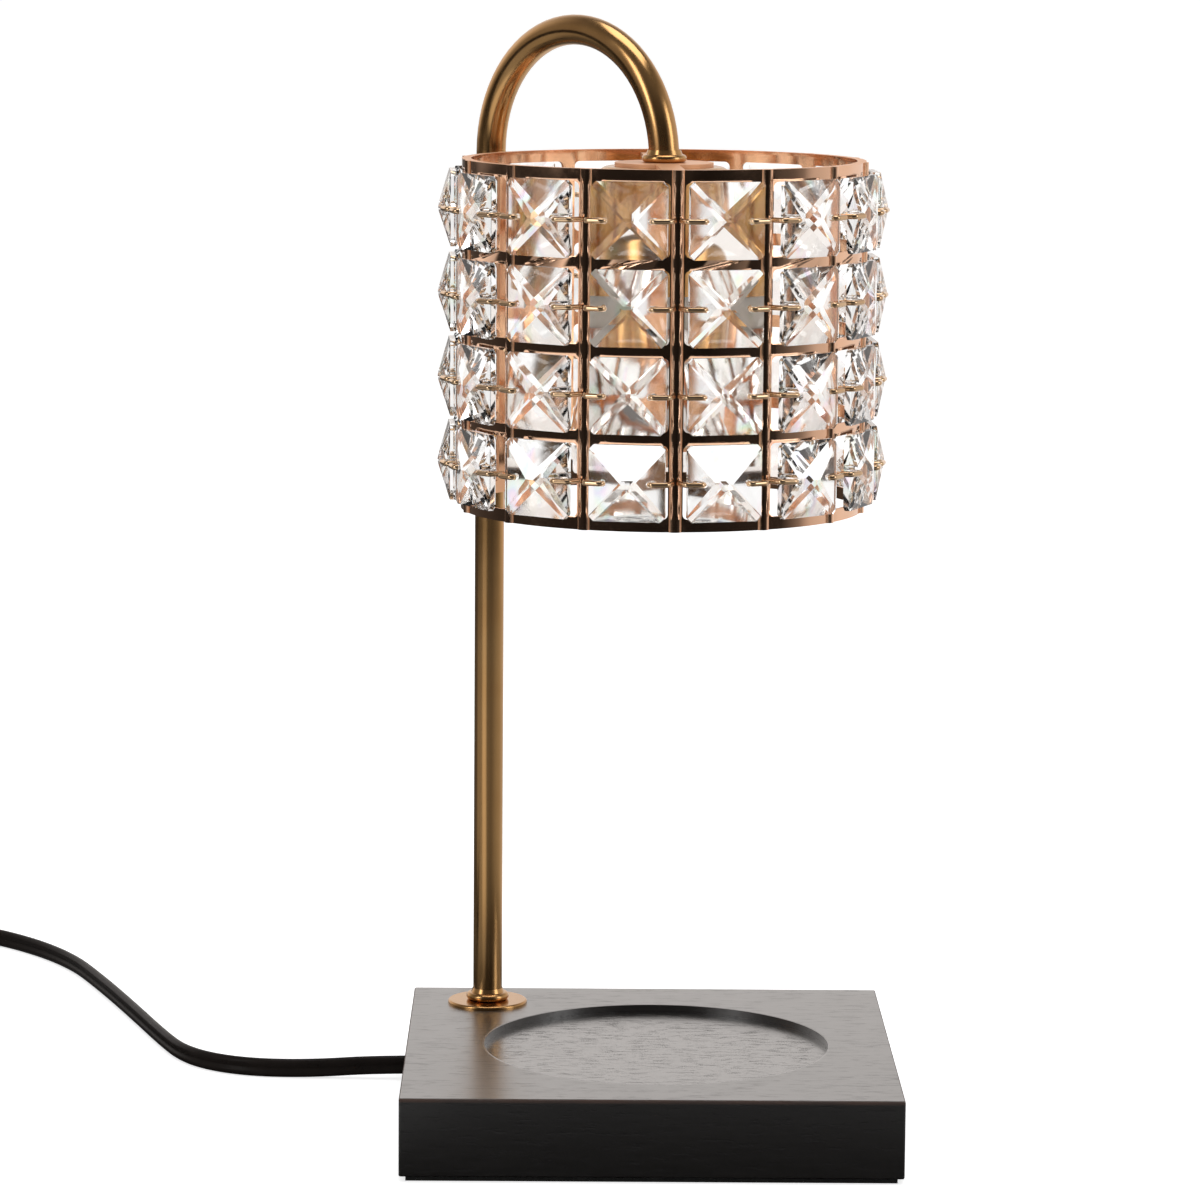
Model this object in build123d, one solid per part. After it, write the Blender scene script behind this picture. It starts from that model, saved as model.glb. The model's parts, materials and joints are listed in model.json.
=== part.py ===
from build123d import *
import math
import os

# Candle warmer: a black wooden base, a bent brass post with a half-circle arch, and a rose-gold
# shade of faceted crystals that hangs from the arch over the candle.
# Millimetres, +Z up, origin under the middle of the base, -Y is the front.

# Wooden base and its pad; its side follows from the post's place and this margin
POST_EDGE_MARGIN = 18.4
BASE_HEIGHT = 20.6
BASE_EDGE_ROUND = 0.5
PAD_THICKNESS = 1.4
PAD_INSET = 1.7
RECESS_DIAMETER = 92.4
RECESS_DEPTH = 2.0
CANDLE_X = 2.0
CANDLE_Y = -2.0

# Bent tube: post, half-circle arch and short drop onto the shade; the post stands clear of the crystals
POST_GAP = 3.8
ARM_ANGLE = 133.5
TUBE_DIAMETER = 8.0
TUBE_WALL = 1.0
POST_RISE = 235.5
TUBE_DROP = 0.25
FLANGE_DIAMETER = 22.0
FLANGE_THICKNESS = 1.0
FLANGE_EDGE_ROUND = 0.6
BEAD_DIAMETER = 11.8
BEAD_HEIGHT = 2.1
BEAD_NECK_HEIGHT = 1.2
ARCH_BEND_CLEARANCE = 0.3

# Clamp of the post under the base, and of the shade at the tube's upper end
NIPPLE_BORE = 4.4
NIPPLE_IN_TUBE = 10.0
NIPPLE_BELOW_NUT = 0.6
WASHER_DIAMETER = 18.0
WASHER_THICKNESS = 1.2
NUT_ACROSS_FLATS = 10.0
NUT_HEIGHT = 4.0
NUT_POCKET_DEPTH = 13.0
NUT_POCKET_CLEARANCE = 0.8
UPPER_NIPPLE_DIAMETER = 5.4
UPPER_NIPPLE_IN_TUBE = 3.2

# Shade frame
COLUMNS = 14
ROWS = 4
FRAME_RADIUS = 53.0
SHEET = 0.8
ROW_PITCH = 22.15
RING_HEIGHT = 3.2
BAR_WIDTH = 3.8
RIB_WIDTH = 3.2
RIB_HEIGHT = 0.9
RIB_PHASE = 2.8
WINDOW_CORNER = 1.4
LIP_WIDTH = 2.4
LIP_THICKNESS = 0.8

# Carrier of the shade under its top lip
HUB_DIAMETER = 26.0
SPIDER_THICKNESS = 1.0
ARM_WIDTH = 6.0
ARM_TAB_HEIGHT = 7.0

# Faceted crystals and the wire pins that hold them
CRYSTAL_SIDE = 19.6
CRYSTAL_CORNER = 1.2
CRYSTAL_GIRDLE = 1.5
CRYSTAL_CROWN = 3.1
CRYSTAL_STANDOFF = 1.6
CRYSTAL_HOLE_INSET = 3.8
PIN_DIAMETER = 1.4
PIN_HOLE_CLEARANCE = 0.12
PIN_GAP = 0.25
PIN_TAIL = 0.4
PIN_BEND = 1.0

# Socket cup, lampholder and bracket
CUP_DIAMETER = 35.0
CUP_WALL = 0.8
CUP_HEIGHT = 33.0
CUP_EDGE_ROUND = 3.0
BRACKET_THICKNESS = 1.0
BRACKET_WIDTH = 6.5
BRACKET_LEG = 8.0
HOLDER_DIAMETER = 26.0
HOLDER_HEIGHT = 16.0
HOLDER_BELOW_NUT = 5.5
HOLDER_LIP = 2.0
HOLDER_POCKET_DEPTH = 4.4
HOLDER_SCREW_DIAMETER = 2.4
HOLDER_SCREW_LENGTH = 6.0
SCREW_HEAD_DIAMETER = 4.6
SCREW_HEAD_HEIGHT = 1.4
SPRING_THICKNESS = 0.5

# Reflector lamp with two bayonet studs
STUD_SPACING = 10.0
STUD_HEAD_DIAMETER = 4.8
STUD_HEAD_HEIGHT = 2.8
STUD_NECK_DIAMETER = 3.0
STUD_CLEARANCE = 0.35
STUD_LIFT = 0.3
TWIST_ANGLE = 25.0
LAMP_DIAMETER = 50.0
LAMP_LENGTH = 49.0
LAMP_BASE_DIAMETER = 25.0
LAMP_BASE_LENGTH = 14.0
LAMP_SHOULDER_DIAMETER = 29.0
LAMP_GLASS_WALL = 1.4
LAMP_RIM_HEIGHT = 4.0
LENS_THICKNESS = 1.8
CAPSULE_DIAMETER = 9.0
CAPSULE_LENGTH = 22.0
CAPSULE_SEAT = 5.0
CAPSULE_TIP_ROUND = 4.0
LAMP_GAP = 0.3

# Conductors inside the base and the tube
CONDUCTOR_DIAMETER = 1.9
CONDUCTOR_SPACING = 2.0
CONDUCTOR_BEND = 2.2

# Flat twin lead, standing on its edge
CORD_WIDTH = 5.3
CORD_STRAND = 2.8
CORD_WEB = 1.7
CORD_ON_PAD = 0.05
CORD_INNER_END = 10.0
BUSHING_LENGTH = 8.0
BUSHING_WALL = 1.5
BUSHING_FACE_INSET = 0.5
CORD_CLEARANCE = 0.1
CORD_ARC_SHARE = 0.45

# In-line dimmer
DIMMER_LENGTH = 60.0
DIMMER_WIDTH = 26.0
DIMMER_HEIGHT = 17.0
DIMMER_WALL = 1.6
DIMMER_CORNER = 7.0
DIMMER_EDGE_ROUND = 2.4
WHEEL_DIAMETER = 23.0
WHEEL_THICKNESS = 4.6
WHEEL_PROUD = 3.0
WHEEL_CLEARANCE = 0.4
WHEEL_GROOVES = 30
WHEEL_GROOVE_DIAMETER = 1.2
SHAFT_DIAMETER = 4.0
RUNNING_CLEARANCE = 0.05
SHAFT_BOSS_WALL = 2.0
BOARD_WIDTH = 20.0
BOARD_LENGTH = 32.0
BOARD_THICKNESS = 1.6
POT_SIDE = 12.0
POT_GAP = 0.2
DIMMER_SCREW_DIAMETER = 2.4
DIMMER_SCREW_LENGTH = 12.0
DIMMER_SCREW_X = 8.0
DIMMER_SCREW_Y = 22.0
SCREW_BOSS_DIAMETER = 6.0
BOARD_POST_DIAMETER = 4.0
BOARD_POST_INSET = 3.0

# Strain reliefs, plug and coil of the lead
RELIEF_LENGTH = 20.0
RELIEF_ROOT_DIAMETER = 11.0
RELIEF_TIP_DIAMETER = 7.0
RELIEF_FLANGE_DIAMETER = 12.0
RELIEF_FLANGE_THICKNESS = 2.0
RELIEF_NECK_DIAMETER = 8.0
PLUG_WIDTH = 24.0
PLUG_LENGTH = 26.0
PLUG_ROUND = 3.0
BLADE_LENGTH = 16.0
BLADE_WIDTH = 6.3
BLADE_THICKNESS = 1.5
BLADE_SPACING = 12.7
BLADE_ROOT = 8.0
COIL_RADIUS = 37.0
COIL_TURNS_A_LAYER = 3.25
COIL_TURN_PITCH = 3.8
COIL_LAYER_PITCH = 5.8
COIL_LEAD_IN = 42.0
COIL_DROP = 22.0
COIL_LEAD_OUT = 16.0
COIL_CHORDS_A_TURN = 4
COIL_GAP_STEP = 1.5
TIE_ANGLES = (65.0, 245.0)
TIE_WIDTH = 8.0
TIE_THICKNESS = 0.6
TIE_GAP = 0.05
TIE_SIDE_GAP = 0.5
TIE_CORNER = 1.5

# Shared clearance of pieces that are clamped, screwed or slipped together
SLIP = 0.05

# Layout seen from above: the post beside the shade's crystals, the base under both
CRYSTAL_BACK = FRAME_RADIUS + CRYSTAL_STANDOFF
CRYSTAL_TIP_RADIUS = CRYSTAL_BACK + CRYSTAL_GIRDLE + CRYSTAL_CROWN
CRYSTAL_PEAK = CRYSTAL_CROWN / (1 - CRYSTAL_CORNER / CRYSTAL_SIDE)
ARM_REACH = CRYSTAL_TIP_RADIUS + POST_GAP + TUBE_DIAMETER / 2
CANDLE = Vector(CANDLE_X, CANDLE_Y, 0)
POST = CANDLE + Vector(ARM_REACH, 0, 0).rotate(Axis.Z, ARM_ANGLE)
BASE_SIDE = 2 * (max(abs(POST.X), abs(POST.Y)) + POST_EDGE_MARGIN)

# Route of the free lead from inside the base to the dimmer, chosen by hand: it starts at the
# height of the base's channel, comes down to the table and rises to the dimmer's axis
CORD_EXIT_Z = PAD_THICKNESS + CORD_ON_PAD + CORD_WIDTH / 2
CORD_TABLE_Z = CORD_WIDTH / 2
DIMMER_AXIS_Z = DIMMER_HEIGHT / 2
CORD_ROUTE = [
    (CORD_INNER_END - BASE_SIDE / 2, POST.Y, CORD_EXIT_Z),
    (-74.0, POST.Y, CORD_EXIT_Z),
    (-93.0, 47.2, CORD_TABLE_Z),
    (-109.0, 47.9, CORD_TABLE_Z),
    (-121.5, 54.0, CORD_TABLE_Z),
    (-130.8, 65.0, CORD_TABLE_Z),
    (-138.0, 84.0, CORD_TABLE_Z),
    (-148.0, 114.0, CORD_TABLE_Z),
    (-160.5, 150.0, CORD_TABLE_Z),
    (-175.0, 188.0, CORD_TABLE_Z),
    (-197.5, 217.5, CORD_TABLE_Z),
    (-226.0, 238.0, CORD_TABLE_Z),
    (-257.0, 238.0, CORD_TABLE_Z),
    (-279.0, 214.0, DIMMER_AXIS_Z),
    (-279.0, 187.0, DIMMER_AXIS_Z),
]

# Heights and places that follow from the sizes above
BASE_TOP = PAD_THICKNESS + BASE_HEIGHT
TUBE_FOOT_Z = BASE_TOP + FLANGE_THICKNESS
SPRING_Z = TUBE_FOOT_Z + POST_RISE
TUBE_END_Z = SPRING_Z - TUBE_DROP
TUBE_BORE = TUBE_DIAMETER - 2 * TUBE_WALL
ARCH_ALONG = (CANDLE - POST).normalized()
ARCH_SIDE = Vector(-ARCH_ALONG.Y, ARCH_ALONG.X, 0)
ARCH_HEADING = math.degrees(math.atan2(ARCH_ALONG.Y, ARCH_ALONG.X))

SHADE_TOP = TUBE_END_Z + SLIP + LIP_THICKNESS
SHADE_HEIGHT = ROWS * ROW_PITCH + RING_HEIGHT
SHADE_BOTTOM = SHADE_TOP - SHADE_HEIGHT
FRAME_BORE_RADIUS = FRAME_RADIUS - SHEET
COLUMN_PITCH = 360.0 / COLUMNS
FIRST_RIB_ANGLE = RIB_PHASE - 90.0

CUP_TOP = TUBE_END_Z - SPIDER_THICKNESS
BRACKET_TOP = CUP_TOP - CUP_WALL
UPPER_NUT_TOP = BRACKET_TOP - BRACKET_THICKNESS
UPPER_NIPPLE_BOTTOM = UPPER_NUT_TOP - NUT_HEIGHT - NIPPLE_BELOW_NUT
HOLDER_TOP = UPPER_NUT_TOP - NUT_HEIGHT - HOLDER_BELOW_NUT
HOLDER_BOTTOM = HOLDER_TOP - HOLDER_HEIGHT
POCKET_TOP = HOLDER_BOTTOM + HOLDER_LIP + HOLDER_POCKET_DEPTH
LAMP_TOP = HOLDER_BOTTOM - LAMP_GAP
LAMP_FACE = LAMP_TOP - LAMP_LENGTH

NUT_POCKET_TOP = PAD_THICKNESS + NUT_POCKET_DEPTH
LOWER_NIPPLE_DIAMETER = TUBE_BORE - 2 * SLIP
LOWER_NUT_TOP = NUT_POCKET_TOP - WASHER_THICKNESS
LOWER_NIPPLE_BOTTOM = LOWER_NUT_TOP - NUT_HEIGHT - NIPPLE_BELOW_NUT
CHANNEL_WIDTH = CORD_STRAND + 2 * CORD_CLEARANCE
CHANNEL_TOP = CORD_EXIT_Z + CORD_WIDTH / 2 + CORD_CLEARANCE
BUSHING_TOP = CHANNEL_TOP + BUSHING_WALL
BUSHING_X = -BASE_SIDE / 2 + BUSHING_FACE_INSET + BUSHING_LENGTH / 2

DIMMER_X = CORD_ROUTE[-1][0]
DIMMER_Y = CORD_ROUTE[-1][1] - SLIP - RELIEF_LENGTH - DIMMER_LENGTH / 2
DIMMER = Pos(DIMMER_X, DIMMER_Y, 0)
WHEEL_X = DIMMER_WIDTH / 2 + WHEEL_PROUD - WHEEL_DIAMETER / 2
WHEEL_BOTTOM = DIMMER_AXIS_Z - WHEEL_THICKNESS / 2
WHEEL_TOP = DIMMER_AXIS_Z + WHEEL_THICKNESS / 2
BOARD_BOTTOM = DIMMER_WALL + RELIEF_FLANGE_THICKNESS / 2
BOARD_TOP = BOARD_BOTTOM + BOARD_THICKNESS
POT_TOP = WHEEL_BOTTOM - POT_GAP

COIL_LOW_Z = TIE_THICKNESS + TIE_GAP + CORD_WIDTH / 2
COIL_HIGH_Z = COIL_LOW_Z + COIL_LAYER_PITCH
COIL_START_Y = DIMMER_Y - DIMMER_LENGTH / 2 - RELIEF_LENGTH
COIL_CENTER = Vector(DIMMER_X + COIL_RADIUS, COIL_START_Y - COIL_LEAD_IN, 0)
COIL_INNER_RADIUS = COIL_RADIUS - COIL_TURNS_A_LAYER * COIL_TURN_PITCH
PLUG_AXIS_Z = COIL_HIGH_Z
PLUG_RELIEF_Y = COIL_CENTER.Y - COIL_LEAD_OUT
PLUG_BACK_Y = PLUG_RELIEF_Y - RELIEF_LENGTH
PLUG_FACE_Y = PLUG_BACK_Y - PLUG_LENGTH

parts = {}


def disc(diameter, bottom, top, axis=CANDLE):
    """Upright cylinder between two heights on a vertical axis."""
    return Pos(axis.X, axis.Y, (bottom + top) / 2) * Cylinder(diameter / 2, top - bottom)


def tube(diameter, bore, bottom, top, axis=CANDLE):
    """Upright tube between two heights on a vertical axis."""
    return disc(diameter, bottom, top, axis) - disc(bore, bottom, top, axis)


def hex_nut(bore, bottom, axis):
    """Plain hexagon nut standing on a height."""
    flats = RegularPolygon(NUT_ACROSS_FLATS / 2, 6, major_radius=False)
    nut = extrude(flats, NUT_HEIGHT)
    return Pos(axis.X, axis.Y, bottom) * nut - disc(bore, bottom, bottom + NUT_HEIGHT, axis)


def group(solids):
    """Separate solids that share one node."""
    return Compound([solid for shape in solids for solid in shape.solids()])


def swept_round(path, diameter):
    """Round wire along a path."""
    section = Plane(origin=path @ 0, z_dir=path % 0) * Circle(diameter / 2)
    return sweep(section, path=path)


def swept_lead(path):
    """Flat twin lead along a path: two strands and the web between them, one above the other."""
    offset = (CORD_WIDTH - CORD_STRAND) / 2
    strands = Pos(offset, 0) * Circle(CORD_STRAND / 2) + Pos(-offset, 0) * Circle(CORD_STRAND / 2)
    section = strands + Rectangle(CORD_WIDTH - CORD_STRAND, CORD_WEB)
    frame = Plane(origin=path @ 0, x_dir=(0, 0, 1), z_dir=path % 0)
    return sweep(frame * section, path=path), section.area


# Wooden base with candle recess, nut pocket, stem hole and the lead's channel
def make_base():
    block = Pos(0, 0, PAD_THICKNESS + BASE_HEIGHT / 2) * Box(BASE_SIDE, BASE_SIDE, BASE_HEIGHT)
    block = fillet(block.edges(), BASE_EDGE_ROUND)
    recess = disc(RECESS_DIAMETER, BASE_TOP - RECESS_DEPTH, BASE_TOP + RECESS_DEPTH)
    stem_hole = disc(LOWER_NIPPLE_DIAMETER + 2 * SLIP, 0, BASE_TOP + RECESS_DEPTH, POST)
    nut_pocket = disc(WASHER_DIAMETER + 2 * NUT_POCKET_CLEARANCE, 0, NUT_POCKET_TOP, POST)
    channel_end = -BASE_SIDE / 2 - CHANNEL_WIDTH
    channel = Pos((channel_end + POST.X) / 2, POST.Y, CHANNEL_TOP / 2) * Box(
        POST.X - channel_end, CHANNEL_WIDTH, CHANNEL_TOP
    )
    seat_width = CHANNEL_WIDTH + 2 * BUSHING_WALL + 2 * SLIP
    seat_top = BUSHING_TOP + SLIP
    seat = Pos(BUSHING_X, POST.Y, seat_top / 2) * Box(BUSHING_LENGTH + 2 * SLIP, seat_width, seat_top)
    parts["wood_base"] = block - [recess, stem_hole, nut_pocket, channel, seat]
    pad_side = BASE_SIDE - 2 * PAD_INSET
    parts["base_pad"] = Pos(0, 0, PAD_THICKNESS / 2) * Box(pad_side, pad_side, PAD_THICKNESS)


def make_cord_bushing():
    height = BUSHING_TOP - PAD_THICKNESS
    body = Pos(BUSHING_X, POST.Y, PAD_THICKNESS + height / 2) * Box(
        BUSHING_LENGTH, CHANNEL_WIDTH + 2 * BUSHING_WALL, height
    )
    slot_height = height - BUSHING_WALL
    slot = Pos(BUSHING_X, POST.Y, PAD_THICKNESS + slot_height / 2) * Box(
        BUSHING_LENGTH, CHANNEL_WIDTH, slot_height
    )
    parts["cord_bushing"] = body - slot


# Post foot: flange, bead collars, nipple, washer and nut
def bead_collar(bottom, clearance, axis):
    """Turned bead with a small neck that leads into the tube."""
    bore = TUBE_DIAMETER / 2 + clearance
    bead = BEAD_DIAMETER / 2
    middle = bottom + BEAD_HEIGHT / 2
    top = bottom + BEAD_HEIGHT
    waist = bead - BEAD_HEIGHT / 2
    neck = bore + TUBE_WALL / 2
    bulge = ThreePointArc((waist, bottom), (bead, middle), (waist, top))
    rest = Polyline(
        (waist, top), (neck, top), (bore + SLIP, top + BEAD_NECK_HEIGHT), (bore, top), (bore, bottom),
        (waist, bottom)
    )
    profile = make_face(Plane.XZ * (bulge + rest))
    return Pos(axis.X, axis.Y, 0) * revolve(profile, Axis.Z)


def make_post_foot():
    hole = LOWER_NIPPLE_DIAMETER + 2 * SLIP
    flange = tube(FLANGE_DIAMETER, hole, BASE_TOP, TUBE_FOOT_Z, POST)
    rim = flange.edges().group_by(Axis.Z)[-1].sort_by(SortBy.RADIUS)[-1]
    parts["stem_flange"] = fillet(rim, FLANGE_EDGE_ROUND)
    parts["lower_collar"] = bead_collar(TUBE_FOOT_Z, SLIP, POST)
    nipple_top = TUBE_FOOT_Z + NIPPLE_IN_TUBE
    parts["lower_nipple"] = tube(
        LOWER_NIPPLE_DIAMETER, NIPPLE_BORE, LOWER_NIPPLE_BOTTOM, nipple_top, POST
    )
    parts["stem_washer"] = tube(WASHER_DIAMETER, hole, LOWER_NUT_TOP, NUT_POCKET_TOP, POST)
    parts["stem_nut"] = hex_nut(hole, LOWER_NUT_TOP - NUT_HEIGHT, POST)


# Bent tube and what clamps the shade to its end
def arch_line(shift, foot_z, end_z):
    """Post, half circle and drop, moved sideways out of the arch's plane."""
    post = POST + ARCH_SIDE * shift
    drop = CANDLE + ARCH_SIDE * shift
    up = Vector(0, 0, 1)
    crown = (post + drop) / 2 + up * (SPRING_Z + ARM_REACH / 2)
    rise = Line(post + up * foot_z, post + up * SPRING_Z)
    arch = ThreePointArc(post + up * SPRING_Z, crown, drop + up * SPRING_Z)
    return [rise, arch, Line(drop + up * SPRING_Z, drop + up * end_z)]


def make_tube():
    path = Wire(arch_line(0, TUBE_FOOT_Z, TUBE_END_Z))
    section = Circle(TUBE_DIAMETER / 2) - Circle(TUBE_BORE / 2)
    parts["stem_tube"] = sweep(Plane(origin=path @ 0, z_dir=path % 0) * section, path=path)
    parts["upper_collar"] = bead_collar(TUBE_END_Z, ARCH_BEND_CLEARANCE, CANDLE)
    nipple_top = TUBE_END_Z + UPPER_NIPPLE_IN_TUBE
    parts["upper_nipple"] = tube(UPPER_NIPPLE_DIAMETER, NIPPLE_BORE, UPPER_NIPPLE_BOTTOM, nipple_top)
    parts["upper_nut"] = hex_nut(UPPER_NIPPLE_DIAMETER + 2 * SLIP, UPPER_NUT_TOP - NUT_HEIGHT, CANDLE)


# Shade frame: rolled sheet with windows, half-round ribs and a turned-in lip
def at_column(angle, radius, z):
    """Place on the shade, with X outwards and Z up."""
    return Pos(CANDLE.X, CANDLE.Y, z) * Rot(0, 0, angle) * Pos(radius, 0, 0)


def row_heights():
    """Middle height of each row of windows, from the bottom up."""
    return [SHADE_BOTTOM + RING_HEIGHT / 2 + ROW_PITCH * (row + 0.5) for row in range(ROWS)]


def column_angles():
    """Middle of each column of windows."""
    return [FIRST_RIB_ANGLE + COLUMN_PITCH * (column + 0.5) for column in range(COLUMNS)]


def make_shade_frame():
    bar_angle = math.degrees(math.asin(BAR_WIDTH / 2 / FRAME_RADIUS))
    window_width = 2 * FRAME_RADIUS * math.sin(math.radians(COLUMN_PITCH / 2 - bar_angle))
    window_height = ROW_PITCH - RING_HEIGHT
    opening = RectangleRounded(window_width, window_height, WINDOW_CORNER)
    depth = window_width / 2
    window = extrude(Plane.YZ * opening, depth)
    windows = [
        at_column(angle, FRAME_RADIUS - depth / 2, z) * window
        for angle in column_angles()
        for z in row_heights()
    ]
    root = FRAME_RADIUS - SHEET / 2
    shoulder = math.sqrt(FRAME_RADIUS**2 - (RIB_WIDTH / 2) ** 2)
    crown = ThreePointArc(
        (shoulder, -RIB_WIDTH / 2), (FRAME_RADIUS + RIB_HEIGHT, 0), (shoulder, RIB_WIDTH / 2)
    )
    sides = Polyline(
        (shoulder, RIB_WIDTH / 2), (root, RIB_WIDTH / 2), (root, -RIB_WIDTH / 2), (shoulder, -RIB_WIDTH / 2)
    )
    rib = extrude(make_face(crown + sides), SHADE_HEIGHT)
    ribs = [at_column(FIRST_RIB_ANGLE + COLUMN_PITCH * n, 0, SHADE_BOTTOM) * rib for n in range(COLUMNS)]
    sheet = tube(2 * FRAME_RADIUS, 2 * FRAME_BORE_RADIUS, SHADE_BOTTOM, SHADE_TOP)
    lip_bore = 2 * (FRAME_RADIUS - LIP_WIDTH)
    lip = tube(2 * FRAME_RADIUS, lip_bore, SHADE_TOP - LIP_THICKNESS, SHADE_TOP)
    parts["shade_frame"] = (sheet - windows) + ribs + lip


def make_spider():
    reach = FRAME_BORE_RADIUS - SLIP
    bottom = TUBE_END_Z - SPIDER_THICKNESS
    arms = at_column(FIRST_RIB_ANGLE, 0, TUBE_END_Z - SPIDER_THICKNESS / 2) * Box(
        2 * FRAME_RADIUS, ARM_WIDTH, SPIDER_THICKNESS
    )
    arms = arms & disc(2 * reach, bottom, TUBE_END_Z)
    tab_ring = tube(2 * reach, 2 * (reach - SPIDER_THICKNESS), TUBE_END_Z - ARM_TAB_HEIGHT, TUBE_END_Z)
    tabs = tab_ring & (
        at_column(FIRST_RIB_ANGLE, 0, TUBE_END_Z - ARM_TAB_HEIGHT / 2)
        * Box(2 * FRAME_RADIUS, BAR_WIDTH, ARM_TAB_HEIGHT)
    )
    hub = disc(HUB_DIAMETER, bottom, TUBE_END_Z)
    hole = disc(UPPER_NIPPLE_DIAMETER + 2 * SLIP, bottom, TUBE_END_Z)
    parts["shade_spider"] = hub + arms + tabs - hole


# Crystals: squares with a low pyramid on both sides, its edges cut to flat bands, drilled near two edges
def bipyramid(reach, turn, peak):
    """Four-sided pyramids back to back with the girdle between them, corners at a reach from the axis."""
    corners = [Vector(0, reach, 0).rotate(Axis.X, turn + 90 * n) for n in range(4)]
    back = Wire.make_polygon(corners)
    front = back.translate((CRYSTAL_GIRDLE, 0, 0))
    tips = Vertex(-peak, 0, 0), Vertex(CRYSTAL_GIRDLE + peak, 0, 0)
    return Solid.make_loft([tips[0], back, front, tips[1]], ruled=True)


def crystal_blank():
    half = CRYSTAL_SIDE / 2
    stone = bipyramid(half * math.sqrt(2), 45, CRYSTAL_PEAK)
    bands = bipyramid(CRYSTAL_SIDE - CRYSTAL_CORNER, 0, CRYSTAL_CROWN)
    drill_length = 2 * (CRYSTAL_GIRDLE + CRYSTAL_CROWN)
    drill = Rot(0, 90, 0) * Cylinder(PIN_DIAMETER / 2 + PIN_HOLE_CLEARANCE, drill_length)
    hole_y = half - CRYSTAL_HOLE_INSET
    return (Part() + stone & bands) - [Pos(0, hole_y, 0) * drill, Pos(0, -hole_y, 0) * drill]


def pin_path():
    """Line of one pin: through the crystal, over its edge and back to the rib."""
    half = CRYSTAL_SIDE / 2
    wire = PIN_DIAMETER / 2
    slope = CRYSTAL_PEAK / half
    hole_y = half - CRYSTAL_HOLE_INSET
    facet = slope * CRYSTAL_HOLE_INSET
    edge_y = half + wire + PIN_GAP
    lift = (wire + PIN_GAP) * math.hypot(1, slope)
    front_x = CRYSTAL_GIRDLE + lift
    rib_angle = math.radians(COLUMN_PITCH / 2)
    rib_side = RIB_WIDTH / 4
    rib_radius = FRAME_RADIUS + RIB_HEIGHT
    rib_x = rib_radius * math.cos(rib_angle) + rib_side * math.sin(rib_angle) - CRYSTAL_BACK
    rib_y = rib_radius * math.sin(rib_angle) - rib_side * math.cos(rib_angle)
    return FilletPolyline(
        (-facet - PIN_TAIL, hole_y, 0),
        (front_x + facet, hole_y, 0),
        (front_x, edge_y, 0),
        (rib_x + PIN_GAP, max(rib_y, edge_y), 0),
        radius=PIN_BEND,
    )


def make_crystals():
    stone = crystal_blank()
    pin = swept_round(pin_path(), PIN_DIAMETER)
    pair = [pin, mirror(pin, Plane.XZ)]
    pins = []
    for column, angle in enumerate(column_angles()):
        places = [at_column(angle, CRYSTAL_BACK, z) for z in row_heights()]
        parts[f"crystal_column_{column + 1:02d}"] = group([place * stone for place in places])
        pins.extend(place * one for place in places for one in pair)
    parts["crystal_pins"] = group(pins)


# Socket cup, bracket, lampholder and contacts
def in_arch_frame(z):
    """Place on the candle axis, with X along the arch."""
    return Pos(CANDLE.X, CANDLE.Y, z) * Rot(0, 0, ARCH_HEADING)


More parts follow.
